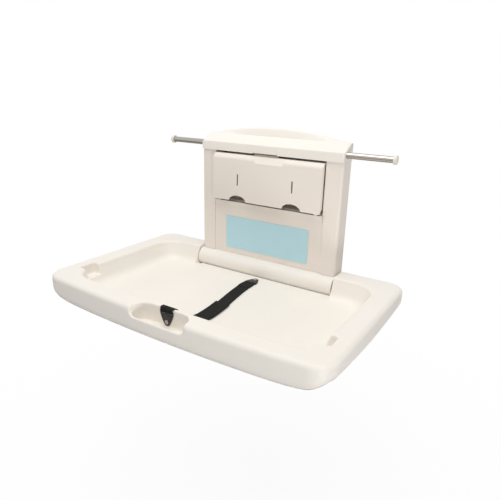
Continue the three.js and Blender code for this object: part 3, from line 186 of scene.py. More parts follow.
def block(name, x, y, z):
    return prism(name, [(x[0], y[0]), (x[1], y[0]), (x[1], y[1]), (x[0], y[1])], "z", *z)


def arc(centre, radius, start, end, steps):
    """Points on an arc, in degrees."""
    turns = np.radians(np.linspace(start, end, steps + 1))
    return [(centre[0] + radius * math.cos(a), centre[1] + radius * math.sin(a)) for a in turns]


def rounded_rectangle(x0, x1, y0, y1, radius, steps=10):
    return [
        *arc((x1 - radius, y1 - radius), radius, 0, 90, steps),
        *arc((x0 + radius, y1 - radius), radius, 90, 180, steps),
        *arc((x0 + radius, y0 + radius), radius, 180, 270, steps),
        *arc((x1 - radius, y0 + radius), radius, 270, 360, steps),
    ]


def turned(name, profile, turn, sides=64):
    """A body of revolution: (along, radius) pairs spun round the Z axis, then placed by turn."""
    spin = np.linspace(0, math.tau, sides, False)
    rings = []
    for z, r in profile:
        rings.append([turn @ Vector((r * math.cos(a), r * math.sin(a), z)) for a in spin])
    return loft(name, rings)


def bake(piece):
    """Puts a piece's modifiers into its mesh."""
    bpy.context.view_layer.update()
    seen = piece.evaluated_get(bpy.context.evaluated_depsgraph_get())
    mesh = bpy.data.meshes.new_from_object(seen)
    piece.modifiers.clear()
    piece.data = mesh
    mesh.name = piece.name


def carve(piece, *tools):
    """Cuts other bodies out of a piece and throws them away."""
    for tool in tools:
        cut = piece.modifiers.new("Cut", "BOOLEAN")
        cut.operation = "DIFFERENCE"
        cut.solver = "EXACT"
        cut.object = tool
    bake(piece)
    for tool in tools:
        bpy.data.objects.remove(tool)


def mould(piece, grain, passes, keep):
    """Recasts a body on an even grid and eases its edges, as a moulding tool leaves them."""
    cast = piece.modifiers.new("Cast", "REMESH")
    cast.mode = "VOXEL"
    cast.voxel_size = grain
    ease = piece.modifiers.new("Ease", "SMOOTH")
    ease.factor = 0.5
    ease.iterations = passes
    thin = piece.modifiers.new("Thin", "DECIMATE")
    thin.ratio = keep
    bake(piece)
    piece.data.shade_smooth()


def shade(piece, angle):
    """Shades a piece smooth, but for edges sharper than angle."""
    piece.data.shade_smooth()
    piece.data.set_sharp_from_angle(angle=math.radians(angle))


def round_edges(piece, width, segments=3):
    """Rounds a piece's edges and shades its broad faces flat."""
    edge = piece.modifiers.new("Edges", "BEVEL")
    edge.width = width * MM
    edge.segments = segments
    edge.limit_method = "ANGLE"
    edge.angle_limit = EDGE_ANGLE
    edge.miter_outer = "MITER_ARC"
    piece.data.shade_smooth()
    piece.modifiers.new("Shading", "WEIGHTED_NORMAL").keep_sharp = True


def recast(name, node, width, segments=3):
    """A piece with a CAD node's form, its flat faces made whole and its edges rounded."""
    bm = bmesh.new()
    bm.from_mesh(NODES[node].data)
    bmesh.ops.remove_doubles(bm, verts=bm.verts, dist=0.01 * MM)
    bmesh.ops.dissolve_limit(bm, angle_limit=math.radians(0.4), verts=bm.verts, edges=bm.edges)
    mesh = bpy.data.meshes.new(name)
    bm.to_mesh(mesh)
    bm.free()
    piece = bpy.data.objects.new(name, mesh)
    bpy.context.scene.collection.objects.link(piece)
    round_edges(piece, width, segments)
    return piece


def place_mesh(piece, turn):
    """Sets a piece's mesh in place by a matrix in millimetres."""
    piece.data.transform(Matrix.Scale(MM, 4) @ turn @ Matrix.Scale(1 / MM, 4))


def box_in_mm(node):
    """The low and high corners of a CAD node, in millimetres."""
    return (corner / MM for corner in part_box(node))


def settle(piece, body, slot, *nodes):
    """Gives a piece its material, sets it on a body and hides the CAD nodes it stands for."""
    piece.data.materials.clear()
    piece.data.materials.append(material(slot))
    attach(piece, body)
    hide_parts(*nodes)
    return piece


# Materials


def add_node(tree, kind, sockets=None, **settings):
    """Adds a node with its settings, and fills its sockets with values or links."""
    made = tree.nodes.new(kind)
    for name, value in settings.items():
        setattr(made, name, value)
    for name, value in (sockets or {}).items():
        if isinstance(value, bpy.types.NodeSocket):
            tree.links.new(value, made.inputs[name])
        else:
            made.inputs[name].default_value = value
    return made


def start_material(name, sockets):
    """An empty material with its shader and output. Returns it, its tree and its shader."""
    made = bpy.data.materials.new(name)
    made.use_nodes = True
    tree = made.node_tree
    tree.nodes.clear()
    shader = add_node(tree, "ShaderNodeBsdfPrincipled", sockets)
    add_node(tree, "ShaderNodeOutputMaterial", {"Surface": shader.outputs["BSDF"]})
    return made, tree, shader


def tint(rgb, factor):
    return [min(1, c * factor) for c in rgb] + [1]


def grain_scale(size):
    """Scale of a noise whose grains are about size millimetres across."""
    return 1 / (size * MM)


def wave_scale(size):
    """Scale of a wave texture whose bands are size millimetres apart."""
    radians_to_a_unit = 20
    return math.tau / radians_to_a_unit / (size * MM)


def moulded(name, rgb, roughness, grain, depth):
    """Moulded plastic: faint clouds of colour, a fine satin grain and soft gloss."""
    made, tree, shader = start_material(name, {"IOR": 1.54})
    place = add_node(tree, "ShaderNodeTexCoord").outputs["Object"]
    clouds = add_node(
        tree, "ShaderNodeTexNoise", {"Vector": place, "Scale": grain_scale(120), "Detail": 3}
    )
    blend = add_node(
        tree,
        "ShaderNodeMix",
        {"Factor": clouds.outputs["Fac"], 6: tint(rgb, 0.965), 7: tint(rgb, 1.015)},
        data_type="RGBA",
    )
    fine = add_node(
        tree, "ShaderNodeTexNoise", {"Vector": place, "Scale": grain_scale(grain), "Detail": 2}
    )
    gloss = add_node(
        tree,
        "ShaderNodeMapRange",
        {"Value": fine.outputs["Fac"], "To Min": roughness - 0.06, "To Max": roughness + 0.06},
    )
    bump = add_node(
        tree,
        "ShaderNodeBump",
        {"Height": fine.outputs["Fac"], "Strength": 0.25, "Distance": depth * MM},
    )
    tree.links.new(blend.outputs[2], shader.inputs["Base Color"])
    tree.links.new(gloss.outputs["Result"], shader.inputs["Roughness"])
    tree.links.new(bump.outputs["Normal"], shader.inputs["Normal"])
    return made


def drawn_steel(name, rgb, roughness, streak):
    """Drawn and polished steel: fine streaks along its length break the reflections a little.
    The real streaks are finer than a millimetre; they are drawn wider so that they show."""
    made, tree, shader = start_material(name, {"Metallic": 1})
    place = add_node(tree, "ShaderNodeTexCoord").outputs["Object"]
    stretch = add_node(
        tree,
        "ShaderNodeMapping",
        {"Vector": place, "Scale": (grain_scale(60), grain_scale(streak), grain_scale(streak))},
    )
    lines = add_node(
        tree, "ShaderNodeTexNoise", {"Vector": stretch.outputs["Vector"], "Scale": 1, "Detail": 3}
    )
    blend = add_node(
        tree,
        "ShaderNodeMix",
        {"Factor": lines.outputs["Fac"], 6: tint(rgb, 0.95), 7: tint(rgb, 1.03)},
        data_type="RGBA",
    )
    gloss = add_node(
        tree,
        "ShaderNodeMapRange",
        {"Value": lines.outputs["Fac"], "To Min": roughness * 0.85, "To Max": roughness * 1.15},
    )
    tree.links.new(blend.outputs[2], shader.inputs["Base Color"])
    tree.links.new(gloss.outputs["Result"], shader.inputs["Roughness"])
    return made


def zinc_plate(name, rgb):
    """Bright zinc plate: blotches a few millimetres wide, some duller than others."""
    made, tree, shader = start_material(name, {"Metallic": 1})
    place = add_node(tree, "ShaderNodeTexCoord").outputs["Object"]
    flakes = add_node(
        tree, "ShaderNodeTexVoronoi", {"Vector": place, "Scale": grain_scale(5)}
    )
    blend = add_node(
        tree,
        "ShaderNodeMix",
        {"Factor": flakes.outputs["Color"], 6: tint(rgb, 0.88), 7: tint(rgb, 1.08)},
        data_type="RGBA",
    )
    gloss = add_node(
        tree,
        "ShaderNodeMapRange",
        {"Value": flakes.outputs["Color"], "To Min": 0.34, "To Max": 0.52},
    )
    tree.links.new(blend.outputs[2], shader.inputs["Base Color"])
    tree.links.new(gloss.outputs["Result"], shader.inputs["Roughness"])
    return made


def woven(name, rgb):
    """Woven polyamide webbing: ribs across the strap, crossed by its yarns, dull and nearly black.
    The real weave is about 1 mm; it is drawn at 2.4 mm so that it shows."""
    made, tree, shader = start_material(
        name, {"Roughness": 0.85, "Specular IOR Level": 0.25, "IOR": 1.5}
    )
    place = add_node(tree, "ShaderNodeUVMap", uv_map="weave").outputs["UV"]
    ribs = add_node(
        tree,
        "ShaderNodeTexWave",
        {"Vector": place, "Scale": wave_scale(2.4), "Distortion": 0.6, "Detail": 1},
        bands_direction="Y",
    )
    yarns = add_node(
        tree,
        "ShaderNodeTexWave",
        {"Vector": place, "Scale": wave_scale(3.2), "Distortion": 0.4, "Detail": 1},
        bands_direction="X",
    )
    weave = add_node(
        tree,
        "ShaderNodeMath",
        {0: ribs.outputs["Fac"], 1: yarns.outputs["Fac"]},
        operation="MULTIPLY",
    )
    fuzz = add_node(
        tree, "ShaderNodeTexNoise", {"Vector": place, "Scale": grain_scale(14), "Detail": 4}
    )
    worn = add_node(
        tree, "ShaderNodeMath", {0: weave.outputs[0], 1: fuzz.outputs["Fac"]}, operation="MULTIPLY"
    )
    blend = add_node(
        tree,
        "ShaderNodeMix",
        {"Factor": worn.outputs[0], 6: tint(rgb, 0.6), 7: tint(rgb, 1.9)},
        data_type="RGBA",
    )
    bump = add_node(
        tree, "ShaderNodeBump", {"Height": weave.outputs[0], "Strength": 0.6, "Distance": 0.4 * MM}
    )
    tree.links.new(blend.outputs[2], shader.inputs["Base Color"])
    tree.links.new(bump.outputs["Normal"], shader.inputs["Normal"])
    return made


def printed_film(name, rgb):
    """Printed polyester film on a plate: an even satin tint with a very slight mottle."""
    made, tree, shader = start_material(
        name, {"IOR": 1.57, "Coat Weight": 0.15, "Coat Roughness": 0.2}
    )
    place = add_node(tree, "ShaderNodeTexCoord").outputs["Object"]
    mottle = add_node(
        tree, "ShaderNodeTexNoise", {"Vector": place, "Scale": grain_scale(40), "Detail": 4}
    )
    blend = add_node(
        tree,
        "ShaderNodeMix",
        {"Factor": mottle.outputs["Fac"], 6: tint(rgb, 0.96), 7: tint(rgb, 1.02)},
        data_type="RGBA",
    )
    gloss = add_node(
        tree,
        "ShaderNodeMapRange",
        {"Value": mottle.outputs["Fac"], "To Min": 0.34, "To Max": 0.42},
    )
    tree.links.new(blend.outputs[2], shader.inputs["Base Color"])
    tree.links.new(gloss.outputs["Result"], shader.inputs["Roughness"])
    return made


MATERIAL_NAMES = {
    "polyethylene": "rotomoulded_polyethylene",
    "panel_polyethylene": "pressed_panel_polyethylene",
    "nylon": "moulded_nylon",
    "black_nylon": "moulded_black_nylon",
    "rubber": "moulded_rubber",
    "stainless": "drawn_stainless_steel",
    "zinc_steel": "zinc_plated_steel",
    "webbing": "woven_nylon_webbing",
    "plate_film": "printed_polyester_film",
}


def material(slot):
    """The material of one of the record's slots, made once."""
    name = MATERIAL_NAMES[slot]
    colours = bpy.context.scene.station_colours
    if name in bpy.data.materials:
        return bpy.data.materials[name]
    if slot == "stainless":
        return drawn_steel(name, colours.stainless, roughness=0.12, streak=2.0)
    if slot == "zinc_steel":
        return zinc_plate(name, colours.zinc)
    if slot == "webbing":
        return woven(name, colours.webbing)
    if slot == "plate_film":
        return printed_film(name, colours.film)
    # Colour, roughness, and the size and depth of the grain in millimetres
    plastics = {
        "polyethylene": (colours.polyethylene, 0.48, 2.2, 0.12),
        "panel_polyethylene": (colours.panel, 0.5, 2.2, 0.12),
        "nylon": (colours.nylon, 0.45, 1.5, 0.05),
        "black_nylon": (colours.black, 0.42, 1.2, 0.1),
        "rubber": (colours.rubber, 0.8, 1.0, 0.1),
    }
    return moulded(name, *plastics[slot])


# Camera and stage, in metres


CAMERA_PLACE = (0.727, -1.28805, 0.50661)
CAMERA_RIGHT = Vector((0.8404, 0.5414, 0.0252))
CAMERA_DOWN = Vector((0.192, -0.254, -0.9479))
CAMERA_LENS = 34.03  # mm, on a sensor 36 mm wide
OVERHEAD = (0.1, -0.85, 2.4), (0, -0.25, 0), 2.2  # place, target and size of a lamp
FILL = (1.8, -1.45, -0.7), (0, -0.4, 0), 0.5
FLOOR_HALF = 5
FLOOR_GREY = 0.6
SHADOW_SCALE = 0.55  # one over the distance from the middle at which the floor is plain white
SHADOW_SHARE = 0.07  # how much of the lit floor shows in the middle, where the rest is plain white


class STATION_OT_camera(bpy.types.Operator):
    """Camera at the photograph's viewing angle"""

    bl_idname = "station.camera"
    bl_label = "Camera"

    def execute(self, context):
        ahead = CAMERA_RIGHT.cross(CAMERA_DOWN)
        data = bpy.data.cameras.new("Camera")
        data.sensor_width = 36
        data.lens = CAMERA_LENS
        data.clip_start = 0.05
        camera = bpy.data.objects.new("Camera", data)
        context.scene.collection.objects.link(camera)
        turn = Matrix((CAMERA_RIGHT, -CAMERA_DOWN, -ahead)).transposed().to_4x4()
        camera.matrix_world = Matrix.Translation(CAMERA_PLACE) @ turn
        context.scene.camera = camera
        return {"FINISHED"}


class STATION_OT_stage(bpy.types.Operator):
    """White floor and sky, a broad lamp overhead and a low fill lamp at the front right"""

    bl_idname = "station.stage"
    bl_label = "Stage"

    def execute(self, context):
        settings = context.scene.station_stage
        context.scene.view_settings.view_transform = "Standard"
        self.make_sky(context, settings)
        self.make_floor(settings)
        self.make_lamp("Overhead", *OVERHEAD, settings.overhead)
        self.make_lamp("Fill", *FILL, settings.fill)
        return {"FINISHED"}

    def make_sky(self, context, settings):
        world = bpy.data.worlds.new("Sky")
        world.use_nodes = True
        tree = world.node_tree
        tree.nodes.clear()
        path = add_node(tree, "ShaderNodeLightPath")
        seen = add_node(
            tree,
            "ShaderNodeMath",
            {0: path.outputs["Is Camera Ray"], 1: path.outputs["Is Glossy Ray"]},
            operation="MAXIMUM",
        )
        through = add_node(
            tree,
            "ShaderNodeMath",
            {0: seen.outputs[0], 1: path.outputs["Is Transmission Ray"]},
            operation="MAXIMUM",
        )
        strength = add_node(
            tree,
            "ShaderNodeMapRange",
            {"Value": through.outputs[0], "To Min": settings.sky, "To Max": 1.0},
        )
        back = add_node(
            tree,
            "ShaderNodeBackground",
            {"Color": (1, 1, 1, 1), "Strength": strength.outputs["Result"]},
        )
        add_node(tree, "ShaderNodeOutputWorld", {"Surface": back.outputs["Background"]})
        context.scene.world = world

    def make_floor(self, settings):
        drop, half = -settings.floor_drop / MM, FLOOR_HALF / MM
        square = [(-half, -half), (half, -half), (half, half), (-half, half)]
        floor = new_piece("floor", [(x, y, drop) for x, y in square], [(0, 1, 2, 3)])
        made, tree, shader = start_material(
            "white_floor", {"Base Color": [FLOOR_GREY] * 3 + [1], "Roughness": 0.9}
        )
        path = add_node(tree, "ShaderNodeLightPath")
        place = add_node(tree, "ShaderNodeTexCoord").outputs["Object"]
        spread = add_node(
            tree,
            "ShaderNodeMapping",
            {"Vector": place, "Scale": (SHADOW_SCALE, SHADOW_SCALE, 0)},
        )
        near = add_node(
            tree,
            "ShaderNodeTexGradient",
            {"Vector": spread.outputs["Vector"]},
            gradient_type="QUADRATIC_SPHERE",
        )
        shown = add_node(
            tree,
            "ShaderNodeMapRange",
            {"Value": near.outputs["Fac"], "To Min": 1.0, "To Max": 1 - SHADOW_SHARE},
        )
        white = add_node(tree, "ShaderNodeEmission", {"Color": (1, 1, 1, 1), "Strength": 1})
        share = add_node(
            tree,
            "ShaderNodeMath",
            {0: path.outputs["Is Camera Ray"], 1: shown.outputs["Result"]},
            operation="MULTIPLY",
        )
        both = add_node(
            tree,
            "ShaderNodeMixShader",
            {0: share.outputs[0], 1: shader.outputs["BSDF"], 2: white.outputs["Emission"]},
        )
        tree.links.new(both.outputs["Shader"], tree.nodes["Material Output"].inputs["Surface"])
        floor.data.materials.append(made)

    def make_lamp(self, name, place, target, size, power):
        data = bpy.data.lights.new(name, "AREA")
        data.size = size
        data.energy = power
        lamp = bpy.data.objects.new(name, data)
        bpy.context.scene.collection.objects.link(lamp)
        lamp.location = place
        lamp.rotation_euler = (Vector(target) - Vector(place)).to_track_quat("-Z", "Y").to_euler()


# Bed, in millimetres


FRONT_STEPS, SIDE_STEPS, CORNER_STEPS = 48, 24, 14
LEAST_R = 6  # of a plan's corners, however far it is set in
WALL_GAP = 4  # wall to the bed's rear edge
OUTER_FRONT_R, OUTER_REAR_R = 54, 46
SIDE_DEPTH, FRONT_DEPTH, CORNER_DEPTH, REAR_DEPTH = 67, 76, 46, 56  # of the outer wall
DEEPEST_REACH = 270  # wall to where the sides are deepest
SIDE_POWER, FRONT_POWER = 1.5, 12  # how late the side and the front rise to their corner
SIDE_RIM, FRONT_RIM = 62, 52
BASIN_REAR = 74  # wall to the basin's rear edge
BASIN_BOW = 6
BASIN_CORNER_R, BASIN_EDGE_R, BASIN_FILLET_R = 70, 10, 30
BASIN_DRAFT = math.radians(20)
BELLY_R = 26  # rounding of the lower edge
BELLY_INSET = 110  # outer wall to the flat of the underside
BELLY_DROP = 28  # basin's floor to the flat of the underside
SEAM = math.radians(45)  # where the pan meets the shell, on the lower edge's rounding
LAP = math.radians(14)  # how far the shell runs on inside the pan
PAN_START, PAN_LIP = 0.2, 0.9  # how far the pan's upper edge starts and stands out over the shell
CLOSURE_STEP, CLOSURE_MIDDLE, CLOSURE_INSET, CLOSURE_Z = 4, 60, 115, -76
CHEEK_X = 248  # half of the notch that the hinge barrel lies in
NOTCH_Y = -79
NOTCH_END, NOTCH_LOW, NOTCH_HIGH = 50, -150, 50  # well past the bed
POCKET_X, POCKET_Y, POCKET_R, POCKET_DEPTH = (335, 401), (-447, -397), 7, 33
RECESS_HALF, RECESS_REACH = 86, 30
RECESS_CORNER_R, RECESS_FLOOR_R = 34, 16
RECESS_DEPTH, RECESS_LIP_DROP, RECESS_LIP_WALL = 48, 27, 7
CUT_ABOVE = 20  # how far a cutting tool reaches above the rim


class Plan:
    """A rounded rectangle from above, with a front that swells forward. Rings have like points."""

    def __init__(self, width, rear, front, bow, front_r, rear_r):
        self.width, self.rear, self.front = width, rear, front
        self.bow, self.front_r, self.rear_r = bow, front_r, rear_r

    def points(self, inset):
        half = self.width / 2 - inset
        yr, yf = -self.rear - inset, -self.front + inset
        rf, rr = max(self.front_r - inset, LEAST_R), max(self.rear_r - inset, LEAST_R)
        t = np.linspace(0, 1, FRONT_STEPS, False)
        s = np.linspace(0, 1, SIDE_STEPS, False)
        front = [((2 * k - 1) * (half - rf), yf - self.bow * (1 - (2 * k - 1) ** 2)) for k in t]
        right = [(half, yf + rf + k * (yr - rr - yf - rf)) for k in s]
        rear = [((1 - 2 * k) * (half - rr), yr) for k in t]
        left = [(-half, yr - rr + k * (yf + rf - yr + rr)) for k in s]
        corners = [
            arc(c, r, a, a + 90, CORNER_STEPS)[:-1]
            for c, r, a in (
                ((half - rf, yf + rf), rf, -90),
                ((half - rr, yr - rr), rr, 0),
                ((rr - half, yr - rr), rr, 90),
                ((rf - half, yf + rf), rf, 180),
            )
        ]
        return np.array(
            [*front, *corners[0], *right, *corners[1], *rear, *corners[2], *left, *corners[3]]
        )

    def ring(self, inset, height):
        flat = self.points(inset)
        return np.column_stack([flat, np.broadcast_to(height, len(flat))])


def wall_depth(points, half_width, reach):
    """How deep the outer wall is below the rim: deepest along the front, shallow at its corners."""
    depths = []
    for x, y in points:
        if -y < DEEPEST_REACH:
            back = (DEEPEST_REACH + y) / (DEEPEST_REACH - WALL_GAP)
            depths.append(SIDE_DEPTH - (SIDE_DEPTH - REAR_DEPTH) * back**2)
            continue
        along = min(1, (-y - DEEPEST_REACH) / (reach - DEEPEST_REACH))
        across = min(1, abs(x) / half_width)
        side = SIDE_DEPTH - (SIDE_DEPTH - CORNER_DEPTH) * along**SIDE_POWER
        front = FRONT_DEPTH - (FRONT_DEPTH - CORNER_DEPTH) * across**FRONT_POWER
        depths.append(max(side, front))
    return np.array(depths)


def mirrored(right, z):
    """An outline at a height, made from its right half, which runs from the rear forward."""
    left = [(-x, y) for x, y in reversed(right)]
    return [(x, y, z) for x, y in [*right, *left]]


class STATION_OT_bed(bpy.types.Operator):
    """Moulded bed: the basin shell and the pan that closes it from below"""

    bl_idname = "station.bed"
    bl_label = "Bed"

    def execute(self, context):
        sizes = context.scene.station_bed
        width, reach, depth = sizes.width / MM, sizes.reach / MM, sizes.basin_depth / MM
        bow = sizes.front_bow / MM
        self.outer = Plan(width, WALL_GAP, reach, bow, OUTER_FRONT_R, OUTER_REAR_R)
        hollow_width, hollow_reach = width - 2 * SIDE_RIM, reach - FRONT_RIM
        self.basin = Plan(
            hollow_width, BASIN_REAR, hollow_reach, BASIN_BOW, BASIN_CORNER_R, BASIN_CORNER_R
        )
        self.depths = wall_depth(self.outer.points(0), width / 2, reach)
        inside = self.closure(edge=2, middle=0, end=0)
        shell = loft("bed_moulding", [*self.rim(sizes.rim_radius / MM), *inside])
        carve(shell, *self.hollows(depth, reach))
        mould(shell, sizes.grain, passes=5, keep=0.35)
        settle(shell, "bed", "polyethylene", "bed_shell")
        inside = reversed(self.closure(edge=-1.5, middle=-2, end=-1.5))
        pan = loft("bed_pan", [*inside, *self.pan_rings(depth + BELLY_DROP)])
        carve(pan, self.notch())
        shade(pan, angle=40)
        settle(pan, "bed", "polyethylene", "bed_underside")
        return {"FINISHED"}

    def belly(self, angle, out=0):
        """Inset and heights of the lower edge's rounding at an angle, or of a skin over it."""
        inset = BELLY_R - (BELLY_R + out) * math.cos(angle)
        return inset, -(self.depths - BELLY_R) - (BELLY_R + out) * math.sin(angle)

    def rim(self, radius):
        turns = np.radians(np.linspace(0, 90, 8))
        round_top = [(radius * (1 - math.sin(a)), -radius * (1 - math.cos(a))) for a in turns]
        top = [self.outer.ring(inset, height) for inset, height in round_top]
        return top + [self.outer.ring(*self.belly(a)) for a in np.linspace(0, SEAM + LAP, 8)]

    def closure(self, edge, middle, end):
        """Rings that close the shell or the pan inside the bed, each raised by its own amount."""
        inset, height = self.belly(SEAM + LAP)
        return [
            self.outer.ring(inset + CLOSURE_STEP, height + edge),
            self.outer.ring(CLOSURE_MIDDLE, (height + CLOSURE_Z) / 2 + middle),
            self.outer.ring(CLOSURE_INSET, CLOSURE_Z + end),
        ]

    def notch(self):
        """A tool for the gap in the rear edge that the hinge barrel lies in."""
        return block(
            "notch", (-CHEEK_X, CHEEK_X), (NOTCH_Y, NOTCH_END), (NOTCH_LOW, NOTCH_HIGH)
        )

    def pan_rings(self, belly_depth):
        """The pan's lip, which laps over the shell, the rounding below it and the underside."""
        lip = [self.outer.ring(*self.belly(SEAM, out)) for out in (PAN_START, PAN_LIP)]
        turns = np.linspace(SEAM + 0.03, math.pi / 2, 7)
        edge = [self.outer.ring(*self.belly(a, PAN_LIP)) for a in turns]
        flat = []
        for share in np.linspace(0.125, 1, 8):
            inset = BELLY_R + share * (BELLY_INSET - BELLY_R)
            drop = (belly_depth - PAN_LIP - self.depths) * (1.2 * share - 0.2 * share**2)
            flat.append(self.outer.ring(inset, -(self.depths + PAN_LIP + drop)))
        return [*lip, *edge, *flat]

    def hollows(self, depth, reach):
        """Tools that cut the basin, the notch, the hand recess and the rod's pockets."""
        edge, draft, fillet = BASIN_EDGE_R, BASIN_DRAFT, BASIN_FILLET_R
        wall_end = -depth + fillet * (1 - math.sin(draft))
        floor_inset = (-edge - wall_end) * math.tan(draft) + fillet * math.cos(draft)
        rings = [self.basin.ring(-edge, edge)]
        for a in np.radians(np.linspace(0, 90, 7)):
            rings.append(self.basin.ring(edge * (math.sin(a) - 1), edge * (math.cos(a) - 1)))
        for a in np.linspace(draft, math.pi / 2, 9):
            inset, height = floor_inset - fillet * math.cos(a), -depth + fillet * (1 - math.sin(a))
            rings.append(self.basin.ring(inset, height))
        floor_edge = (-BASIN_REAR - floor_inset, NOTCH_Y + 1)
        tools = [
            loft("basin", rings),
            self.notch(),
            block("notch_floor", (-CHEEK_X, CHEEK_X), floor_edge, (-depth, NOTCH_HIGH)),
            *self.recess(-reach),
        ]
        for side in (1, -1):
            span = sorted(side * x for x in POCKET_X)
            pocket = rounded_rectangle(*span, *POCKET_Y, POCKET_R)
            tools.append(prism("pocket", pocket, "z", -POCKET_DEPTH, CUT_ABOVE))
        return tools

    def recess(self, front):
        """The hand recess: a flared mouth down to its lip, and a trough behind the lip."""
        wall, half, corner = front + RECESS_REACH, RECESS_HALF, RECESS_CORNER_R
        flare, lip = RECESS_LIP_WALL, front - self.outer.bow + RECESS_LIP_WALL
        sections = []
        for a in np.radians(np.linspace(0, 90, 7)):
            wide = half - RECESS_FLOOR_R * (1 - math.sin(a))
            sections.append((wide, RECESS_FLOOR_R * (1 - math.cos(a)) - RECESS_LIP_DROP))
        rings = []
        for wide, z in [*sections, (half, CUT_ABOVE)]:
            side = arc((wide + flare, lip), flare, 180, 270, 6)
            rings.append(mirrored([(wide, lip + 2), *side, (wide + flare, front - 90)], z))
        back = [*arc((half - corner, wall - corner), corner, 90, 0, 12), (half, lip)]
        trough = [mirrored(back, z) for z in (-RECESS_DEPTH, CUT_ABOVE)]
        return [loft("mouth", rings), loft("trough", trough)]


# Wall unit, in millimetres


PLATE_CORNER_R = 5
ROD_CHAMFER = 0.8
CAP_CORNER_R, CAP_CHAMFER, CAP_SOCKET, CAP_PLAY = 2, 0.8, 5.3, 0.3


class STATION_OT_wall_unit(bpy.types.Operator):
    """Wall panel, arched cap, hinge barrel and instruction plate"""

    bl_idname = "station.wall_unit"
    bl_label = "Wall unit"

    def execute(self, context):
        panel = recast("wall_panel", "panel_shell", width=1.8)
        settle(panel, "wall_unit", "panel_polyethylene", "panel_shell")
        cap = recast("arched_cap", "top_cap", width=7, segments=5)
        settle(cap, "wall_unit", "polyethylene", "top_cap")
        barrel = recast("hinge_barrel", "hinge_cover", width=1.2)
        settle(barrel, "wall_unit", "polyethylene", "hinge_cover")
        low, high = box_in_mm("instruction_plate")
        outline = rounded_rectangle(low[0], high[0], low[2], high[2], PLATE_CORNER_R)
        plate = prism("plate", outline, "y", low[1], high[1])
        round_edges(plate, width=0.25)
        settle(plate, "wall_unit", "plate_film", "instruction_plate")
        return {"FINISHED"}


class STATION_OT_dispenser(bpy.types.Operator):
    """Drop-front door of the liner dispenser and the catch that locks it"""

    bl_idname = "station.dispenser"
    bl_label = "Dispenser"

    def execute(self, context):
        door = recast("door_moulding", "dispenser_door", width=1.1)
        settle(door, "dispenser_door", "panel_polyethylene", "dispenser_door")
        catch = recast("catch_slide", "door_catch", width=0.8)
        settle(catch, "door_catch", "polyethylene", "door_catch")
        return {"FINISHED"}


class STATION_OT_bag_rod(bpy.types.Operator):
    """Stainless rod for bags, with a cap on each end"""

    bl_idname = "station.bag_rod"
    bl_label = "Bag rod"

    def execute(self, context):
        low, high = box_in_mm("bag_rod")
        middle, radius, half = (low + high) / 2, (high[2] - low[2]) / 2, (high[0] - low[0]) / 2
        along = Matrix.Translation(middle) @ Matrix.Rotation(math.pi / 2, 4, "Y")
        profile = [(-half, 1), (-half, radius - ROD_CHAMFER), (ROD_CHAMFER - half, radius)]
        rod = turned("rod", profile + [(-z, r) for z, r in reversed(profile)], along)
        shade(rod, angle=35)
        settle(rod, "wall_unit", "stainless", "bag_rod")
        for side, sign in (("right", 1), ("left", -1)):
            self.make_cap(side, sign, radius + CAP_PLAY)
        return {"FINISHED"}

    def make_cap(self, side, sign, bore):
        node = f"rod_cap_{side}"
        low, high = box_in_mm(node)
        middle, radius, depth = (low + high) / 2, (high[2] - low[2]) / 2, high[0] - low[0]
        base = middle - Vector((sign * depth / 2, 0, 0))
        outwards = Matrix.Translation(base) @ Matrix.Rotation(sign * math.pi / 2, 4, "Y")
        rounding = arc((0, 0), CAP_CORNER_R, 0, 90, 5)
        corner = [(depth - CAP_CORNER_R + y, radius - CAP_CORNER_R + x) for x, y in rounding]
        socket = [(CAP_SOCKET, 0.5), (CAP_SOCKET, bore), (0, bore)]
        rim = [(0, radius - CAP_CHAMFER), (CAP_CHAMFER, radius)]
        cap = turned(f"cap_{side}", [*socket, *rim, *corner, (depth, 0.5)], outwards)
        shade(cap, angle=35)
        settle(cap, "wall_unit", "nylon", node)


# Straps and fasteners, in millimetres


REAR_BAR, REAR_END = -135, -430  # the rear strap, from its anchor's bar to its free end
FRONT_END = -305
BAR_WIDTH = 36  # of the rear strap, where it is gathered in its anchor
RIM_WIDTH = 42  # of the front strap, where it crosses the rim
REAR_SCREW = (0, -104, -59.6)
FRONT_SCREW = (0, -510.4, -35.5)
UPRIGHT = Matrix(((-1, 0, 0), (0, 0, -1), (0, -1, 0))).to_4x4()  # an anchor with its bar on top
ANCHOR_TIP_R, ANCHOR_HALF, ANCHOR_FAR, ANCHOR_THICK, ANCHOR_CORNER_R = 10.5, 21, -31, 2, 3.5
ANCHOR_PLAY = 0.2  # below the head of its screw
SLOT_HALF, SLOT_NEAR, SLOT_FAR, SLOT_R, HOLE_R = 18.8, 4, 9, 1.2, 3.3
SCREW_HEAD_R, SCREW_HEAD, SCREW_RUN, SCREW_R = 5.5, 2.2, 12, 1.8


def ribbon(name, path, widths, thickness):
    """Flat webbing along a path, with its width across X and a weave map in metres."""
    path = [Vector(p) for p in path]
    along = [0]
    for a, b in zip(path, path[1:]):
        along.append(along[-1] + (b - a).length)
    half, edge = thickness / 2, thickness / 3
    across = np.linspace(-1, 1, 9)
    rings, uvs = [], []
    for i, point in enumerate(path):
        ahead = (path[min(i + 1, len(path) - 1)] - path[max(i - 1, 0)]).normalized()
        up = Vector((1, 0, 0)).cross(ahead).normalized()
        reach = widths[i] / 2 - edge
        top = [(s * reach, half) for s in across]
        under = [(s * reach, -half) for s in reversed(across)]
        section = [*top, (reach + edge, 0), *under, (-reach - edge, 0)]
        rings.append([point + Vector((u, 0, 0)) + up * v for u, v in section])
        uvs.append([(u * MM, along[i] * MM) for u, _ in section])
    piece = loft(name, rings)
    layer = piece.data.uv_layers.new(name="weave")
    flat = [uv for ring in uvs for uv in ring]
    for loop in piece.data.loops:
        layer.data[loop.index].uv = flat[loop.vertex_index]
    shade(piece, angle=50)
    return piece, along[-1]


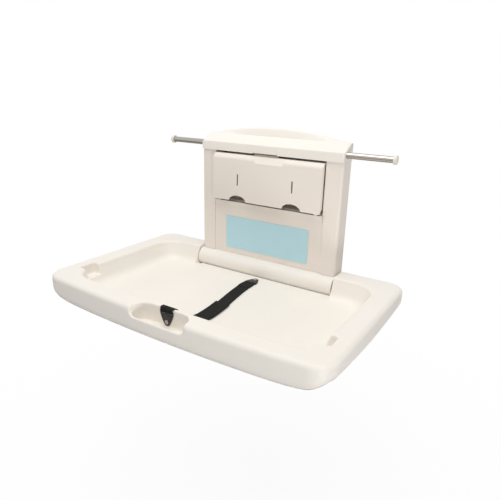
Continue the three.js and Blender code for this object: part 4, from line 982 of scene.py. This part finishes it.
def anchor_place(end):
    """Where an anchor's screw meets what it lies on, with the bar along -Y and Z outwards."""
    if end == "rear":
        return Matrix.Translation(REAR_SCREW)
    return Matrix.Translation(FRONT_SCREW) @ UPRIGHT


def smooth_step(share):
    share = min(1, max(0, share))
    return share * share * (3 - 2 * share)


def drift(y):
    """How far the straps lie off the middle: nothing at the anchors, most between them."""
    rear, most, front, widest = -146, -395, -488, 28
    share = (y - rear) / (most - rear) if y > most else (y - front) / (most - front)
    return widest * smooth_step(share)


class STATION_OT_straps(bpy.types.Operator):
    """Safety strap: a rear and a front half of webbing, each sewn round the bar of its anchor"""

    bl_idname = "station.straps"
    bl_label = "Straps"

    def execute(self, context):
        sizes = context.scene.station_straps
        self.thick = sizes.thickness / MM
        self.tab = sizes.tab / MM
        self.rear(sizes.rear_width / MM)
        self.front(sizes.front_width / MM)
        return {"FINISHED"}

    def rear(self, width):
        """From the bar over its own folded end, and on along the basin's floor."""
        floor, lift = -58.7, -56.75
        folded = REAR_BAR - self.tab
        wrap = [(-129.2, -59.3), (-129.4, -57.9), (-130.4, -56.6), (-133, lift + 0.4), (-136, lift)]
        laid = [(y, lift) for y in np.linspace(-141, folded, 6)]
        step = [(folded - 3, lift - 0.5), (folded - 7, floor + 0.2)]
        rest = [(y, floor) for y in np.linspace(folded - 12, REAR_END, 36)]
        path = [(drift(y), y, z) for y, z in [*wrap, *laid, *step, *rest]]
        strap, run = ribbon("strap_rear", path, self.rear_widths(path, width), self.thick)
        under = [(drift(y), y, floor) for y in np.linspace(REAR_BAR - 2, folded, 8)]
        tab, _ = ribbon("strap_rear_tab", under, self.rear_widths(under, width), self.thick - 0.2)
        self.finish(strap, tab, "rear", (0, -0.205, 0), (0, -0.139, 0), (width, run), ["bed_shell"])

    def rear_widths(self, path, width):
        shares = [smooth_step((REAR_BAR + 4 - y) / 20) for _, y, _ in path]
        return [BAR_WIDTH + (width - BAR_WIDTH) * share for share in shares]

    def front(self, width):
        """From the bar up over the rim, down the basin's wall and along the rear strap."""
        wall, inset, off = -494, 39.2, 1.3  # basin's wall, its floor's edge, strap off the surface
        edge_r, fillet_r = BASIN_EDGE_R, BASIN_FILLET_R
        bend_z, lift = -30, -56.6  # centre of the bend into the floor, strap on the rear one
        lean = anchor_place("front")
        wrap = [(-25.4, 0.6), (-25.5, 2.4), (-26.6, 3.1), (-29, 3.1), (-31.4, 2.6)]
        wrap = [(lean @ Vector((0, y, z))).yz for y, z in wrap]
        over = [(-512.4, -0.6), (-510.7, 0.8), (-508.7, off)]
        edge = [
            (wall - edge_r + (edge_r + off) * math.sin(a), -edge_r + (edge_r + off) * math.cos(a))
            for a in np.radians(np.linspace(0, 84, 9))
        ]
        bend = [
            (wall + inset - (fillet_r - off) * math.cos(a), bend_z - (fillet_r - off) * math.sin(a))
            for a in np.radians(np.linspace(24, 66, 8))
        ]
        laid = [(y, lift) for y in np.linspace(bend[-1][0] + 6, FRONT_END, 30)]
        path = [(drift(y), y, z) for y, z in [*wrap, *over, *edge, *bend, *laid]]
        gathered = [37, 37, 37, 38, 39, 40, 41, RIM_WIDTH]
        shares = [smooth_step(k / 14) for k in range(len(edge + bend + laid))]
        widths = [*gathered, *[RIM_WIDTH + (width - RIM_WIDTH) * share for share in shares]]
        strap, run = ribbon("strap_front", path, widths, self.thick)
        start, stop = (0, -0.5087, 0.0013), (0, -0.5153, -0.0027)
        self.finish(strap, None, "front", start, stop, (width, run), ["bed_shell", "rear_strap"])

    def finish(self, strap, tab, end, start, stop, flat, rests_on):
        """Gives a strap and its folded end their webbing, bakes them in place and hides that end's
        CAD strap. The two points, in metres, are not used.
        """
        for piece in filter(None, (strap, tab)):
            piece.data.materials.append(material("webbing"))
            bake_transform(piece)
        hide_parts(f"{end}_strap")


class STATION_OT_fasteners(bpy.types.Operator):
    """Strap anchors and the screws that hold them"""

    bl_idname = "station.fasteners"
    bl_label = "Fasteners"

    def execute(self, context):
        for end in ("rear", "front"):
            turn = anchor_place(end)
            self.make_anchor(end, turn)
            seat = turn @ Matrix.Translation((0, 0, ANCHOR_THICK + ANCHOR_PLAY))
            self.make_screw(f"{end}_anchor_screw", seat)
        return {"FINISHED"}

    def make_anchor(self, end, turn):
        """A plate with its screw at the origin, a round tip behind it and a bar along -Y."""
        half, far, thick, corner = ANCHOR_HALF, ANCHOR_FAR, ANCHOR_THICK, ANCHOR_CORNER_R
        side = [(half - 11 * k**1.4, far + 7 + 27.6 * k) for k in np.linspace(0, 1, 7)]
        right = [*arc((half - corner, far + corner), corner, -90, 0, 6), *side]
        left = [(-x, y) for x, y in reversed(right)]
        outline = [*right, *arc((0, 0), ANCHOR_TIP_R, 20, 160, 14), *left]
        plate = prism(f"{end}_anchor_plate", outline, "z", 0, thick)
        gap = rounded_rectangle(-SLOT_HALF, SLOT_HALF, far + SLOT_NEAR, far + SLOT_FAR, SLOT_R, 4)
        slot = prism("slot", gap, "z", -1, thick + 1)
        hole = prism("hole", arc((0, 0), HOLE_R, 0, 345, 23), "z", -1, thick + 1)
        carve(plate, slot, hole)
        place_mesh(plate, turn)
        round_edges(plate, width=0.5)
        settle(plate, f"{end}_anchor", "black_nylon", f"{end}_anchor")

    def make_screw(self, node, turn):
        """A domed cross-head screw, its head on the origin of turn."""
        head, head_r, run = SCREW_HEAD, SCREW_HEAD_R, SCREW_RUN
        turns = np.radians([0, 20, 40, 60, 78])
        dome = [(head * (0.4 + 0.6 * math.sin(a)), head_r * math.cos(a)) for a in turns]
        shank = [(-run, 0.4), (1.5 - run, SCREW_R), (0, SCREW_R), (0, head_r - 0.2)]
        screw = turned(f"{node}_head", [*shank, *dome, (head, 0.3)], turn, sides=40)
        tools = []
        for wide, deep in ((3.2, 0.6), (0.6, 3.2)):
            cross = block("cross", (-wide, wide), (-deep, deep), (head - 1.2, head + 2))
            place_mesh(cross, turn)
            tools.append(cross)
        carve(screw, *tools)
        shade(screw, angle=35)
        settle(screw, "bed", NODE_SLOTS[node], node)


class STATION_OT_inner_parts(bpy.types.Operator):
    """Materials of the CAD pieces whose form is right as it is, such as chassis and hinges"""

    bl_idname = "station.inner_parts"
    bl_label = "Inner parts"

    def execute(self, context):
        for name, node in NODES.items():
            if not node.hide_render:
                node.data.materials.clear()
                node.data.materials.append(material(NODE_SLOTS[name]))
        return {"FINISHED"}


class STATION_PT_panel(bpy.types.Panel):
    bl_idname = "STATION_PT_panel"
    bl_label = "Baby Changing Station"
    bl_space_type = "VIEW_3D"
    bl_region_type = "UI"
    bl_category = "Station"

    def draw(self, context):
        for group in GROUPS:
            box = self.layout.box()
            settings = getattr(context.scene, group)
            for name in settings.__annotations__:
                box.prop(settings, name)
        for made in OPERATORS:
            self.layout.operator(made.bl_idname)


GROUPS = {
    "station_colours": StationColours,
    "station_bed": BedSizes,
    "station_straps": StrapSizes,
    "station_stage": StageSettings,
}
OPERATORS = [
    STATION_OT_camera,
    STATION_OT_stage,
    STATION_OT_bed,
    STATION_OT_wall_unit,
    STATION_OT_dispenser,
    STATION_OT_bag_rod,
    STATION_OT_straps,
    STATION_OT_fasteners,
    STATION_OT_inner_parts,
]


def register():
    for made in (*GROUPS.values(), *OPERATORS, STATION_PT_panel):
        bpy.utils.register_class(made)
    for name, group in GROUPS.items():
        setattr(bpy.types.Scene, name, PointerProperty(type=group))


def unregister():
    for name in GROUPS:
        delattr(bpy.types.Scene, name)
    for made in (STATION_PT_panel, *reversed(OPERATORS), *reversed(GROUPS.values())):
        bpy.utils.unregister_class(made)


def main():
    register()
    bpy.ops.station.camera()
    bpy.ops.station.stage()
    bpy.ops.station.bed()
    bpy.ops.station.wall_unit()
    bpy.ops.station.dispenser()
    bpy.ops.station.bag_rod()
    bpy.ops.station.straps()
    bpy.ops.station.fasteners()
    bpy.ops.station.inner_parts()


if __name__ == "__main__":
    main()
